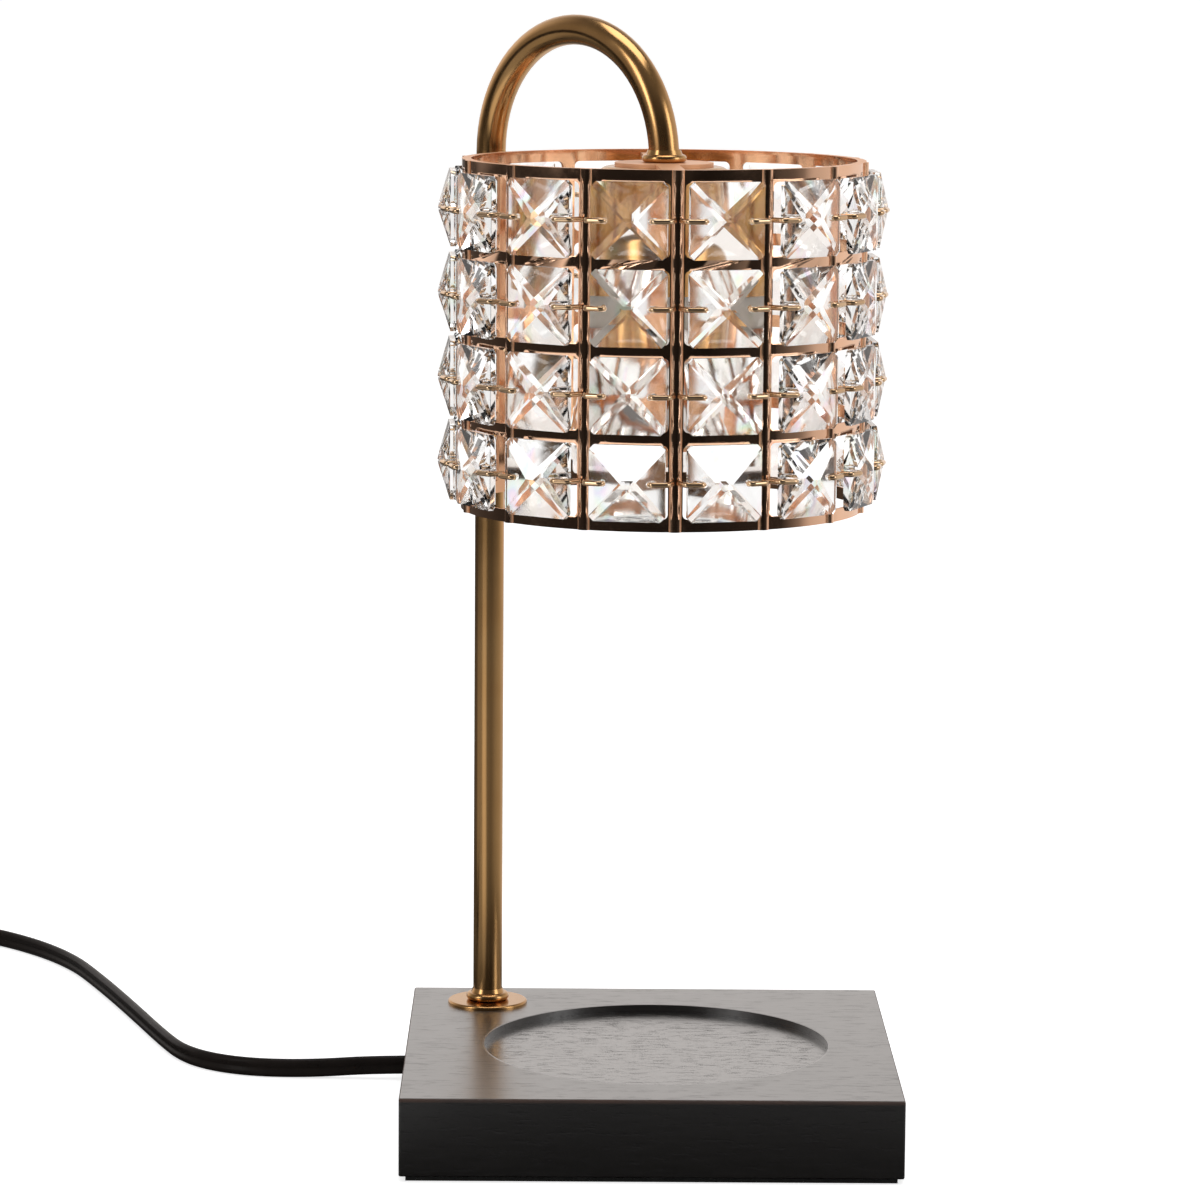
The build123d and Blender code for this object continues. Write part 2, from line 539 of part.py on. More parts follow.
def make_socket():
    hole = disc(UPPER_NIPPLE_DIAMETER + 2 * SLIP, UPPER_NIPPLE_BOTTOM, CUP_TOP)
    cup = disc(CUP_DIAMETER, CUP_TOP - CUP_HEIGHT, CUP_TOP)
    cup = fillet(cup.edges().group_by(Axis.Z)[-1], CUP_EDGE_ROUND)
    hollow = disc(CUP_DIAMETER - 2 * CUP_WALL, CUP_TOP - CUP_HEIGHT - CUP_WALL, BRACKET_TOP)
    hollow = fillet(hollow.edges().group_by(Axis.Z)[-1], CUP_EDGE_ROUND - CUP_WALL)
    parts["socket_cup"] = cup - hollow - hole

    leg_x = HOLDER_DIAMETER / 2 + SLIP
    leg_bottom = HOLDER_TOP - BRACKET_LEG
    leg_height = BRACKET_TOP - leg_bottom
    span = 2 * (leg_x + BRACKET_THICKNESS)
    top = in_arch_frame(BRACKET_TOP - BRACKET_THICKNESS / 2) * Box(span, BRACKET_WIDTH, BRACKET_THICKNESS)
    leg = Box(BRACKET_THICKNESS, BRACKET_WIDTH, leg_height)
    leg_middle = leg_x + BRACKET_THICKNESS / 2
    leg_place = in_arch_frame(leg_bottom + leg_height / 2)
    legs = [leg_place * Pos(side * leg_middle, 0, 0) * leg for side in (1, -1)]
    screw_z = (leg_bottom + HOLDER_TOP) / 2
    screw_hole = in_arch_frame(screw_z) * Rot(0, 90, 0) * Cylinder(HOLDER_SCREW_DIAMETER / 2 + SLIP, span)
    parts["holder_bracket"] = top + legs - hole - screw_hole

    head_x = leg_x + BRACKET_THICKNESS + SCREW_HEAD_HEIGHT / 2
    tip_x = head_x - SCREW_HEAD_HEIGHT / 2 - HOLDER_SCREW_LENGTH / 2
    head = Pos(head_x, 0, 0) * Rot(0, 90, 0) * Cylinder(SCREW_HEAD_DIAMETER / 2, SCREW_HEAD_HEIGHT)
    shank = Pos(tip_x, 0, 0) * Rot(0, 90, 0) * Cylinder(HOLDER_SCREW_DIAMETER / 2, HOLDER_SCREW_LENGTH)
    screw = head + shank
    screw_place = in_arch_frame(screw_z)
    parts["holder_screws"] = group([screw_place * Rot(0, 0, turn) * screw for turn in (0, 180)])

    body = disc(HOLDER_DIAMETER, HOLDER_BOTTOM, HOLDER_TOP)
    screw_bores = in_arch_frame(screw_z) * Rot(0, 90, 0) * (
        Cylinder(HOLDER_SCREW_DIAMETER / 2 + SLIP, span)
        - Cylinder(HOLDER_DIAMETER, HOLDER_DIAMETER - 2 * HOLDER_SCREW_LENGTH)
    )
    cuts = [screw_bores]
    springs = []
    for stud in (90, -90):
        track = CenterArc((0, 0), STUD_SPACING / 2, stud, -TWIST_ANGLE)
        neck_slot = SlotArc(track, STUD_NECK_DIAMETER + 2 * STUD_CLEARANCE)
        head_slot = SlotArc(track, STUD_HEAD_DIAMETER + 2 * STUD_CLEARANCE)
        entry = Pos(track @ 1) * Circle(STUD_HEAD_DIAMETER / 2 + STUD_CLEARANCE)
        cuts.append(in_arch_frame(HOLDER_BOTTOM) * extrude(neck_slot + entry, HOLDER_LIP))
        cuts.append(in_arch_frame(HOLDER_BOTTOM + HOLDER_LIP) * extrude(head_slot, HOLDER_POCKET_DEPTH))
        terminal = Pos(track @ 0) * Circle(CONDUCTOR_DIAMETER / 2 + CORD_CLEARANCE)
        cuts.append(in_arch_frame(POCKET_TOP) * extrude(terminal, HOLDER_TOP - POCKET_TOP))
        leaf = SlotArc(track, STUD_NECK_DIAMETER)
        springs.append(in_arch_frame(POCKET_TOP - SPRING_THICKNESS) * extrude(leaf, SPRING_THICKNESS))
    parts["lampholder"] = body - cuts
    parts["contact_springs"] = group(springs)


# Reflector lamp that twists into the holder
def make_lamp():
    base_bottom = LAMP_TOP - LAMP_BASE_LENGTH
    base = disc(LAMP_BASE_DIAMETER, base_bottom, LAMP_TOP)
    capsule_seat = disc(CAPSULE_DIAMETER, base_bottom, base_bottom + CAPSULE_SEAT)
    parts["lamp_base"] = base - capsule_seat

    necks = HOLDER_BOTTOM + HOLDER_LIP + STUD_LIFT
    stud_y = STUD_SPACING / 2
    stud_neck = Cylinder(STUD_NECK_DIAMETER / 2, necks - LAMP_TOP)
    stud_head = Cylinder(STUD_HEAD_DIAMETER / 2, STUD_HEAD_HEIGHT)
    studs = []
    for side in (1, -1):
        low = in_arch_frame((LAMP_TOP + necks) / 2) * Pos(0, side * stud_y, 0) * stud_neck
        high = in_arch_frame(necks + STUD_HEAD_HEIGHT / 2) * Pos(0, side * stud_y, 0) * stud_head
        studs.append(low + high)
    parts["lamp_studs"] = group(studs)

    rim = LAMP_DIAMETER / 2
    shoulder = LAMP_SHOULDER_DIAMETER / 2
    wall = LAMP_GLASS_WALL
    neck = CAPSULE_DIAMETER / 2 + wall
    rim_top = LAMP_FACE + LAMP_RIM_HEIGHT
    belly = (shoulder + rim) / 2 + wall
    belly_z = (base_bottom + rim_top) / 2
    outside = [
        Line((rim, LAMP_FACE), (rim, rim_top)),
        ThreePointArc((rim, rim_top), (belly, belly_z), (shoulder, base_bottom)),
    ]
    inside = [
        Line((shoulder, base_bottom), (neck, base_bottom)),
        Line((neck, base_bottom), (neck, base_bottom - wall)),
        ThreePointArc((neck, base_bottom - wall), (belly - 2 * wall, belly_z), (rim - wall, rim_top)),
        Line((rim - wall, rim_top), (rim - wall, LAMP_FACE)),
        Line((rim - wall, LAMP_FACE), (rim, LAMP_FACE)),
    ]
    profile = make_face(Plane.XZ * Curve([*outside, *inside]))
    parts["lamp_reflector"] = Pos(CANDLE) * revolve(profile, Axis.Z)
    lens_bottom = LAMP_FACE + LENS_THICKNESS / 2
    lens_diameter = LAMP_DIAMETER - 2 * (wall + SLIP)
    parts["lamp_lens"] = disc(lens_diameter, lens_bottom, lens_bottom + LENS_THICKNESS)
    capsule_bottom = base_bottom + CAPSULE_SEAT - CAPSULE_LENGTH
    capsule = disc(CAPSULE_DIAMETER, capsule_bottom, base_bottom + CAPSULE_SEAT)
    parts["lamp_capsule"] = fillet(capsule.edges().group_by(Axis.Z)[0], CAPSULE_TIP_ROUND)


# Conductors from the lead's end through the tube to the lampholder
def conductor(side, strand):
    """One insulated conductor; side is its place in the tube, strand its height in the lead."""
    shift = side * CONDUCTOR_SPACING / 2
    up = Vector(0, 0, 1)
    start_z = CORD_EXIT_Z + strand * (CORD_WIDTH - CORD_STRAND) / 2
    start = Vector(CORD_ROUTE[0][0] + 2 * SLIP, POST.Y, start_z)
    foot = POST + ARCH_SIDE * shift
    foot_lead = FilletPolyline(
        start, foot + up * start_z, foot + up * TUBE_FOOT_Z, radius=CONDUCTOR_BEND
    )
    drop = CANDLE + ARCH_SIDE * shift
    terminal = CANDLE + ARCH_SIDE * (side * STUD_SPACING / 2)
    splay_top = UPPER_NIPPLE_BOTTOM - SLIP
    splay_bottom = HOLDER_TOP + CONDUCTOR_DIAMETER / 4
    top_lead = FilletPolyline(
        drop + up * SPRING_Z,
        drop + up * splay_top,
        terminal + up * splay_bottom,
        terminal + up * POCKET_TOP,
        radius=CONDUCTOR_BEND / 2,
    )
    arch = arch_line(shift, TUBE_FOOT_Z, TUBE_END_Z)[:2]
    rise = [edge for line in arch for edge in line.edges()]
    path = Wire([*foot_lead.edges(), *rise, *top_lead.edges()])
    return swept_round(path, CONDUCTOR_DIAMETER)


def make_conductors():
    parts["conductor_live"] = conductor(-1, 1)
    parts["conductor_neutral"] = conductor(1, -1)


# Free lead on the table, as straight runs and large tangent arcs
def route_radii(points):
    """Largest even radius at each inner point of a route."""
    radii = []
    for before, point, after in zip(points, points[1:], points[2:]):
        arriving = Vector(point) - Vector(before)
        leaving = Vector(after) - Vector(point)
        turn = math.radians(arriving.get_angle(leaving))
        radii.append(CORD_ARC_SHARE * min(arriving.length, leaving.length) / math.tan(turn / 2))
    return radii


def report_tube(name, solid, path, section_area):
    """Print how well a swept lead's volume agrees with its section and length."""
    share = solid.volume / (section_area * path.length)
    print(f"{name}: length {path.length:.1f} mm, volume over section times length {share:.4f}")


def make_cord_lead():
    radii = route_radii(CORD_ROUTE)
    print("cord_lead radii:", ", ".join(f"{radius:.0f}" for radius in radii))
    path = Wire(FilletPolyline(*CORD_ROUTE, radius=radii).edges())
    lead, section_area = swept_lead(path)
    report_tube("cord_lead", lead, path, section_area)
    parts["cord_lead"] = lead


# In-line dimmer
def strain_relief(flange_sign):
    """Tapered sleeve along Y, its root at the origin, reaching towards +Y or -Y."""
    root = RELIEF_ROOT_DIAMETER / 2
    tip = RELIEF_TIP_DIAMETER / 2
    neck = RELIEF_NECK_DIAMETER / 2
    flange = RELIEF_FLANGE_DIAMETER / 2
    inside = -DIMMER_WALL - SLIP
    end = inside - RELIEF_FLANGE_THICKNESS
    outline = [
        (0, end), (flange, end), (flange, inside), (neck, inside),
        (neck, SLIP), (root, SLIP), (tip, RELIEF_LENGTH), (0, RELIEF_LENGTH),
    ]
    sleeve = revolve(make_face(Polyline(outline, close=True)), Axis.Y)
    return Rot(0, 0, 0 if flange_sign > 0 else 180) * sleeve


def dimmer_shell():
    """Whole hollow housing, before it is parted at the lead's height."""
    outer = extrude(RectangleRounded(DIMMER_WIDTH, DIMMER_LENGTH, DIMMER_CORNER), DIMMER_HEIGHT)
    levels = outer.edges().group_by(Axis.Z)
    outer = fillet(levels[0] + levels[-1], DIMMER_EDGE_ROUND)
    hollow = extrude(
        RectangleRounded(
            DIMMER_WIDTH - 2 * DIMMER_WALL, DIMMER_LENGTH - 2 * DIMMER_WALL, DIMMER_CORNER - DIMMER_WALL
        ),
        DIMMER_HEIGHT - 2 * DIMMER_WALL,
    )
    end_hole = Pos(0, 0, DIMMER_AXIS_Z) * Rot(90, 0, 0) * Cylinder(
        RELIEF_NECK_DIAMETER / 2 + SLIP, 2 * DIMMER_LENGTH
    )
    return outer - Pos(0, 0, DIMMER_WALL) * hollow, end_hole


def screw_places():
    """Two screws in line along one side of the dimmer."""
    return [Vector(-DIMMER_SCREW_X, DIMMER_SCREW_Y, 0), Vector(-DIMMER_SCREW_X, -DIMMER_SCREW_Y, 0)]


def make_dimmer_shells():
    shell, end_hole = dimmer_shell()
    wheel_axis = Vector(WHEEL_X, 0, 0)
    ceiling = DIMMER_HEIGHT - DIMMER_WALL
    low = DIMMER_WALL / 2
    high = DIMMER_HEIGHT - DIMMER_WALL / 2
    bosses = [disc(SCREW_BOSS_DIAMETER, low, high, at) for at in screw_places()]
    boss_diameter = SHAFT_DIAMETER + 2 * SHAFT_BOSS_WALL
    shaft_boss = disc(boss_diameter, WHEEL_TOP + WHEEL_CLEARANCE, high, wheel_axis)
    post_x = BOARD_WIDTH / 2 - BOARD_POST_INSET
    post_y = BOARD_LENGTH / 2 - BOARD_POST_INSET
    posts = [
        disc(BOARD_POST_DIAMETER, low, BOARD_BOTTOM, Vector(x, y, 0))
        for x in (post_x, -post_x)
        for y in (post_y, -post_y)
    ]
    room_diameter = WHEEL_DIAMETER + 2 * WHEEL_CLEARANCE
    wheel_room = disc(room_diameter, WHEEL_BOTTOM - POT_GAP, WHEEL_TOP + WHEEL_CLEARANCE, wheel_axis)
    shaft_bore = disc(SHAFT_DIAMETER + 2 * RUNNING_CLEARANCE, WHEEL_TOP, ceiling - DIMMER_WALL, wheel_axis)
    screw_bores = [
        disc(DIMMER_SCREW_DIAMETER + 2 * SLIP, 0, SCREW_HEAD_HEIGHT + DIMMER_SCREW_LENGTH, at)
        for at in screw_places()
    ]
    head_seats = [disc(SCREW_HEAD_DIAMETER + 2 * SLIP, 0, SCREW_HEAD_HEIGHT, at) for at in screw_places()]
    cuts = [end_hole, wheel_room, shaft_bore, *screw_bores, *head_seats]
    whole = shell + bosses + posts + shaft_boss - cuts
    lower_half = Pos(0, 0, DIMMER_AXIS_Z / 2) * Box(2 * DIMMER_WIDTH, 2 * DIMMER_LENGTH, DIMMER_AXIS_Z)
    parts["dimmer_lower_shell"] = DIMMER * (whole & lower_half)
    parts["dimmer_upper_shell"] = DIMMER * (whole - lower_half)


def make_dimmer_insides():
    wheel_axis = Vector(WHEEL_X, 0, 0)
    board = Pos(0, 0, (BOARD_BOTTOM + BOARD_TOP) / 2) * Box(BOARD_WIDTH, BOARD_LENGTH, BOARD_THICKNESS)
    parts["dimmer_board"] = DIMMER * board
    pot = Pos(WHEEL_X, 0, (BOARD_TOP + POT_TOP) / 2) * Box(POT_SIDE, POT_SIDE, POT_TOP - BOARD_TOP)
    pot_bore = disc(SHAFT_DIAMETER + 2 * RUNNING_CLEARANCE, BOARD_TOP, POT_TOP, wheel_axis)
    parts["dimmer_potentiometer"] = DIMMER * (pot - pot_bore)
    shaft_top = DIMMER_HEIGHT - 2 * DIMMER_WALL - SLIP
    parts["dimmer_shaft"] = DIMMER * disc(SHAFT_DIAMETER, BOARD_TOP + SLIP, shaft_top, wheel_axis)
    wheel = tube(WHEEL_DIAMETER, SHAFT_DIAMETER, WHEEL_BOTTOM, WHEEL_TOP, wheel_axis)
    spoke = Vector(WHEEL_DIAMETER / 2, 0, 0)
    grooves = [
        disc(WHEEL_GROOVE_DIAMETER, WHEEL_BOTTOM, WHEEL_TOP, wheel_axis + spoke.rotate(Axis.Z, angle))
        for angle in (360 / WHEEL_GROOVES * n for n in range(WHEEL_GROOVES))
    ]
    parts["dimmer_wheel"] = DIMMER * (wheel - grooves)
    screws = [
        disc(SCREW_HEAD_DIAMETER, SLIP, SCREW_HEAD_HEIGHT, at)
        + disc(DIMMER_SCREW_DIAMETER, SCREW_HEAD_HEIGHT, SCREW_HEAD_HEIGHT + DIMMER_SCREW_LENGTH, at)
        for at in screw_places()
    ]
    parts["dimmer_screws"] = group([DIMMER * screw for screw in screws])
    for name, sign in (("dimmer_relief_lamp_side", 1), ("dimmer_relief_plug_side", -1)):
        root = Pos(DIMMER_X, DIMMER_Y + sign * DIMMER_LENGTH / 2, DIMMER_AXIS_Z)
        parts[name] = root * strain_relief(sign)


# Put-away length of the lead: a two-layer coil with straight ends
def biarc(start, start_dir, end, end_dir):
    """Two arcs that join two points with given directions."""
    span = end - start
    both = start_dir + end_dir
    bend = 2 * (1 - start_dir.dot(end_dir))
    reach = span.dot(both)
    handle = (math.sqrt(reach**2 + bend * span.dot(span)) - reach) / bend
    middle = (start + end + (start_dir - end_dir) * handle) / 2
    first = Edge.make_tangent_arc(start, start_dir, middle)
    return [first, Edge.make_tangent_arc(middle, first % 1, end)]


def coil_point(turn):
    """Place on the coil after a number of turns from its outer start, anticlockwise."""
    climb_end = COIL_TURNS_A_LAYER + 0.5
    into_climb = turn - COIL_TURNS_A_LAYER
    if turn <= COIL_TURNS_A_LAYER:
        radius = COIL_RADIUS - COIL_TURN_PITCH * turn
        z = COIL_LOW_Z
    elif turn < climb_end:
        radius = COIL_INNER_RADIUS - COIL_TURN_PITCH * into_climb * (1 - 2 * into_climb)
        z = COIL_LOW_Z + COIL_LAYER_PITCH * 2 * into_climb
    else:
        radius = COIL_INNER_RADIUS + COIL_TURN_PITCH * (turn - climb_end)
        z = COIL_HIGH_Z
    angle = math.pi + 2 * math.pi * turn
    return COIL_CENTER + Vector(radius * math.cos(angle), radius * math.sin(angle), z)


def coil_direction(turn):
    """Direction of the coil there, level apart from the climb."""
    step = 0.001
    line = coil_point(turn + step) - coil_point(turn - step)
    climbing = COIL_TURNS_A_LAYER < turn < COIL_TURNS_A_LAYER + 0.5
    return Vector(line.X, line.Y, line.Z if climbing else 0).normalized()


def coil_path():
    """Whole line of the coil from the dimmer to the plug."""
    out = Vector(0, -1, 0)
    turns = 2 * COIL_TURNS_A_LAYER + 0.5
    count = round(turns * COIL_CHORDS_A_TURN)
    stations = [turns * n / count for n in range(count + 1)]
    points = [coil_point(turn) for turn in stations]
    directions = [out, *(coil_direction(turn) for turn in stations[1:-1]), out]
    start = Vector(DIMMER_X, COIL_START_Y - SLIP, DIMMER_AXIS_Z)
    straight = start + out * CORD_WIDTH
    end = Vector(DIMMER_X, PLUG_RELIEF_Y + SLIP, PLUG_AXIS_Z)
    edges = [Edge.make_line(start, straight)]
    landing = Vector(DIMMER_X, straight.Y - COIL_DROP, COIL_LOW_Z)
    edges += drop_curve(straight, landing)
    edges.append(Edge.make_line(landing, points[0]))
    for n in range(count):
        edges += biarc(points[n], directions[n], points[n + 1], directions[n + 1])
    edges.append(Edge.make_line(points[-1], end))
    return Wire(edges)


def drop_curve(high, low):
    """Two equal arcs that bring the lead down from the dimmer, level at both ends."""
    out = Vector(0, -1, 0)
    middle = (high + low) / 2
    first = Edge.make_tangent_arc(high, out, middle)
    return [first, Edge.make_tangent_arc(middle, first % 1, low)]


def least_coil_gap(path):
    """Smallest gap between turns, measured between strands on points along the lead."""
    count = int(path.length / COIL_GAP_STEP)
    points = [path @ (n / count) for n in range(count + 1)]
    skip = int(math.pi * COIL_INNER_RADIUS / COIL_GAP_STEP)
    strands = CORD_WIDTH - CORD_STRAND
    least = math.inf
    for n, point in enumerate(points):
        for other in points[n + skip:]:
            level = math.hypot(point.X - other.X, point.Y - other.Y)
            if level < 2 * CORD_WIDTH:
                rise = abs(point.Z - other.Z)
                least = min(least, math.hypot(level, min(rise, abs(rise - strands))) - CORD_STRAND)
    return least


def make_coil():
    path = coil_path()
    coil, section_area = swept_lead(path)
    report_tube("cord_coil", coil, path, section_area)
    print(f"cord_coil: least gap between turns {least_coil_gap(path):.2f} mm")
    parts["cord_coil"] = coil
    climb_dip = COIL_TURN_PITCH / 8
    inner = COIL_INNER_RADIUS - climb_dip - CORD_STRAND / 2 - TIE_SIDE_GAP
    outer = COIL_RADIUS + CORD_STRAND / 2 + TIE_SIDE_GAP
    top = COIL_HIGH_Z + CORD_WIDTH / 2 + TIE_GAP
    band_width = outer - inner + 2 * TIE_THICKNESS
    band = RectangleRounded(band_width, top + TIE_THICKNESS, TIE_CORNER + TIE_THICKNESS)
    hollow = RectangleRounded(outer - inner, top - TIE_THICKNESS, TIE_CORNER)
    tie = extrude(Plane.XZ * (band - hollow), TIE_WIDTH / 2, both=True)
    middle = (top + TIE_THICKNESS) / 2
    on_ring = Pos((inner + outer) / 2, 0, middle)
    parts["coil_ties"] = group([Pos(COIL_CENTER) * Rot(0, 0, angle) * on_ring * tie for angle in TIE_ANGLES])


def make_plug():
    body = Pos(DIMMER_X, (PLUG_BACK_Y + PLUG_FACE_Y) / 2, PLUG_AXIS_Z) * Box(
        PLUG_WIDTH, PLUG_LENGTH, 2 * PLUG_AXIS_Z
    )
    body = fillet(body.edges(), PLUG_ROUND)
    blade = Box(BLADE_THICKNESS, BLADE_LENGTH + BLADE_ROOT, BLADE_WIDTH)
    blade_y = PLUG_FACE_Y + (BLADE_ROOT - BLADE_LENGTH) / 2
    blades = [
        Pos(DIMMER_X + side * BLADE_SPACING / 2, blade_y, PLUG_AXIS_Z) * blade for side in (1, -1)
    ]
    parts["plug_body"] = body - blades
    parts["plug_blades"] = group(blades)
    relief = Rot(-90, 0, 0) * Cone(RELIEF_ROOT_DIAMETER / 2, RELIEF_TIP_DIAMETER / 2, RELIEF_LENGTH)
    parts["plug_relief"] = Pos(DIMMER_X, PLUG_BACK_Y + RELIEF_LENGTH / 2, PLUG_AXIS_Z) * relief


make_base()
make_cord_bushing()
make_post_foot()
make_tube()
make_shade_frame()
make_spider()
make_crystals()
make_socket()
make_lamp()
make_conductors()
make_cord_lead()
make_dimmer_shells()
make_dimmer_insides()
make_coil()
make_plug()

os.makedirs("parts", exist_ok=True)
for name, shape in parts.items():
    export_step(shape, f"parts/{name}.step")
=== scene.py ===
import json
import math

import bpy
from mathutils import Matrix, Vector


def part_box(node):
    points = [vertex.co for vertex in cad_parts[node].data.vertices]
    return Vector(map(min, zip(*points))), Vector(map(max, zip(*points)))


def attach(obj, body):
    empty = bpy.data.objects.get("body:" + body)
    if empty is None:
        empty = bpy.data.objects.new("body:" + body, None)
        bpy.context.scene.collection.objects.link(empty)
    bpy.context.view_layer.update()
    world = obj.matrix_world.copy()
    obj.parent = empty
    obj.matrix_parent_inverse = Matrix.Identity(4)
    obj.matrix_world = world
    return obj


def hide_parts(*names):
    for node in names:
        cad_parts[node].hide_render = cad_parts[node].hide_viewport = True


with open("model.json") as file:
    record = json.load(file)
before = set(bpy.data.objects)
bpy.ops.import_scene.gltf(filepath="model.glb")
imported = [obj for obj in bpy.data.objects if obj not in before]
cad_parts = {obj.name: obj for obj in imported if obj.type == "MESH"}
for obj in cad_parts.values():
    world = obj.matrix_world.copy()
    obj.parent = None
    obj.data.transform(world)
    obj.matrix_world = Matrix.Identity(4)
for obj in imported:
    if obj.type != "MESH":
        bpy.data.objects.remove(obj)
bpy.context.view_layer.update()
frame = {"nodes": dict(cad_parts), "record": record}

# Candle warmer: finishes of every piece, the flat twin lead at its real length, the strain reliefs
# and the coil's straps, in metres, in the frame of the solids.

# Camera of the photograph: place, angles in degrees and lens
CAMERA_PLACE = (-0.02257, -1.28893, 0.32652)
CAMERA_YAW = 0.3834
CAMERA_PITCH = 8.1469
CAMERA_ROLL = 0.4329
FOCAL_PIXELS = 4899.9
PHOTO_PIXELS = 1200
SENSOR_WIDTH = 36.0

# Flat twin lead, standing on its edge
CORD_WIDTH = 0.0053
CORD_STRAND = 0.0028
CORD_WEB = 0.0017
CORD_POINTS_A_LOBE = 14
CORD_RIB_HEIGHT = 0.00008
CORD_RIBS = 5
EXIT_Z = 0.0041
TABLE_Z = CORD_WIDTH / 2
DIMMER_Z = 0.0085
EXIT_Y = 0.0466
LEAD_ROUTE = [
    (-0.0550, EXIT_Y, EXIT_Z),
    (-0.0740, EXIT_Y, EXIT_Z),
    (-0.0930, 0.0472, TABLE_Z),
    (-0.1090, 0.0479, TABLE_Z),
    (-0.1215, 0.0540, TABLE_Z),
    (-0.1308, 0.0650, TABLE_Z),
    (-0.1380, 0.0840, TABLE_Z),
    (-0.1480, 0.1140, TABLE_Z),
    (-0.1605, 0.1500, TABLE_Z),
    (-0.1750, 0.1880, TABLE_Z),
    (-0.1975, 0.2175, TABLE_Z),
    (-0.2260, 0.2380, TABLE_Z),
    (-0.2570, 0.2380, TABLE_Z),
    (-0.2790, 0.2140, DIMMER_Z),
    (-0.2790, 0.1870, DIMMER_Z),
]

# Coil of the put-away length, between dimmer and plug
COIL_X = -0.2420
COIL_Y = 0.04495
COIL_RADIUS = 0.0370
COIL_TURN_PITCH = 0.0038
COIL_TURNS_A_LAYER = 3.25
COIL_LOW_Z = 0.0033
COIL_HIGH_Z = 0.0091
COIL_POINTS_A_TURN = 16
LINE_ORDER = 3
LINE_STEPS = 8
COIL_CLIMB_TURNS = 0.5
TAIL_X = -0.2790
TAIL_START = [(0.08690, DIMMER_Z), (0.08100, DIMMER_Z), (0.06900, 0.0050), (0.0600, COIL_LOW_Z)]
TAIL_END_Y = 0.02900
STRAP_ANGLES = (65, 245)
STRAP_WIDTH = 0.008
STRAP_THICKNESS = 0.0006
STRAP_STEPS = 64
STRAP_SQUARENESS = 0.35

# Ribbed strain reliefs, each with the way it points along Y
RELIEFS = (("dimmer_relief_lamp_side", 1), ("dimmer_relief_plug_side", -1), ("plug_relief", 1))
RELIEF_LENGTH = 0.020
RELIEF_ROOT_RADIUS = 0.0055
RELIEF_TIP_RADIUS = 0.0035
RELIEF_RIBS = 5
RELIEF_GROOVE = 0.0008
RELIEF_STEPS_A_RIB = 8
ROUND_STEPS = 48

# Wood of the base: its top, how far down its edges are worn, the recess with the softened rim round it,
# and the pores' depth outside and inside the recess
BASE_TOP = 0.022
WORN_DOWN_TO = (0.0012, 0.0007)
RECESS_PLACE = (0.002, -0.002, 0)
RECESS_RADIUS = 0.0462
RECESS_RIM = 0.0005
RECESS_EDGE = 0.0003
NOT_WORN_WITHIN = (0.001, 0.002)
RIM_DROP = 6.0
PORES_ON_TOP = 2.0
PORES_IN_RECESS = 3.8

# Tones round the object, as mirrors see them, by (azimuth in degrees, tone): the table, the room below
# the table's height and the room above it; and where the table's shade and the table itself end
TABLE_TONES = [
    (-180, 0.9), (-164, 0.12), (-112, 0.12), (-98, 0.40), (-62, 0.40), (-54, 1.0), (-30, 1.0),
    (-20, 0.28), (17, 0.24), (54, 0.40), (98, 0.52), (180, 0.9),
]
TABLE_SHADE = (0.12, 0.26)
TABLE_REACH = (0.95, 1.14)
LOW_ROOM = [
    (-180, 0.75), (-168, 0.10), (-100, 0.03), (-44, 0.02), (20, 0.01),
    (66, 0.03), (84, 0.25), (100, 0.65), (120, 0.9), (180, 0.9),
]
HIGH_ROOM = [
    (-180, 1.0), (-130, 1.0), (-105, 0.30), (-72, 0.25), (-64, 0.9),
    (-46, 0.9), (-36, 0.05), (34, 0.04), (60, 0.5), (180, 1.0),
]

# Rises of a direction at which the low room turns into the high one and that into the ceiling, the tones
# that glass and dull pieces get from the room, and the tints of its light and of the crystals
HORIZON = (-0.045, 0.01)
CEILING = (0.35, 0.8)
CEILING_TONE = (0.16, 0.16, 0.16, 1)
THROUGH_GLASS = (0.75, 1.0)
SHADED_LIGHT = 0.45
WARM_WHITE = (1.0, 0.945, 0.91, 1)
WARM_GLASS = (1.0, 0.989, 0.977)

# Pale floor, and how bright it is to the camera and through glass
FLOOR_HALF_SIDE = 40.0
FLOOR_COLOR = (0.8, 0.8, 0.8, 1)
FLOOR_SEEN = 0.66
FLOOR_THROUGH_GLASS = 0.55

# Soft lamps: name, place, width, height and watts
LAMP_TARGET = (0, 0, 0.16)
LAMPS = (
    ("left_softbox", (-1.30, -0.90, 0.95), 0.45, 1.0, 4.0),
    ("right_softbox", (1.40, -0.50, 0.70), 0.6, 1.0, 4.0),
    ("top_softbox", (0.10, 0.20, 1.60), 1.0, 1.0, 9.0),
)
WHITE = (1, 1, 1, 1)
BLACK = (0, 0, 0, 1)

UP = Vector((0, 0, 1))
nodes = frame["nodes"]
slot_of_node = {part["node"]: part["material_slot"] for part in frame["record"]["subparts"]}


def link_object(name, data):
    """New object in the scene."""
    made = bpy.data.objects.new(name, data)
    bpy.context.scene.collection.objects.link(made)
    return made


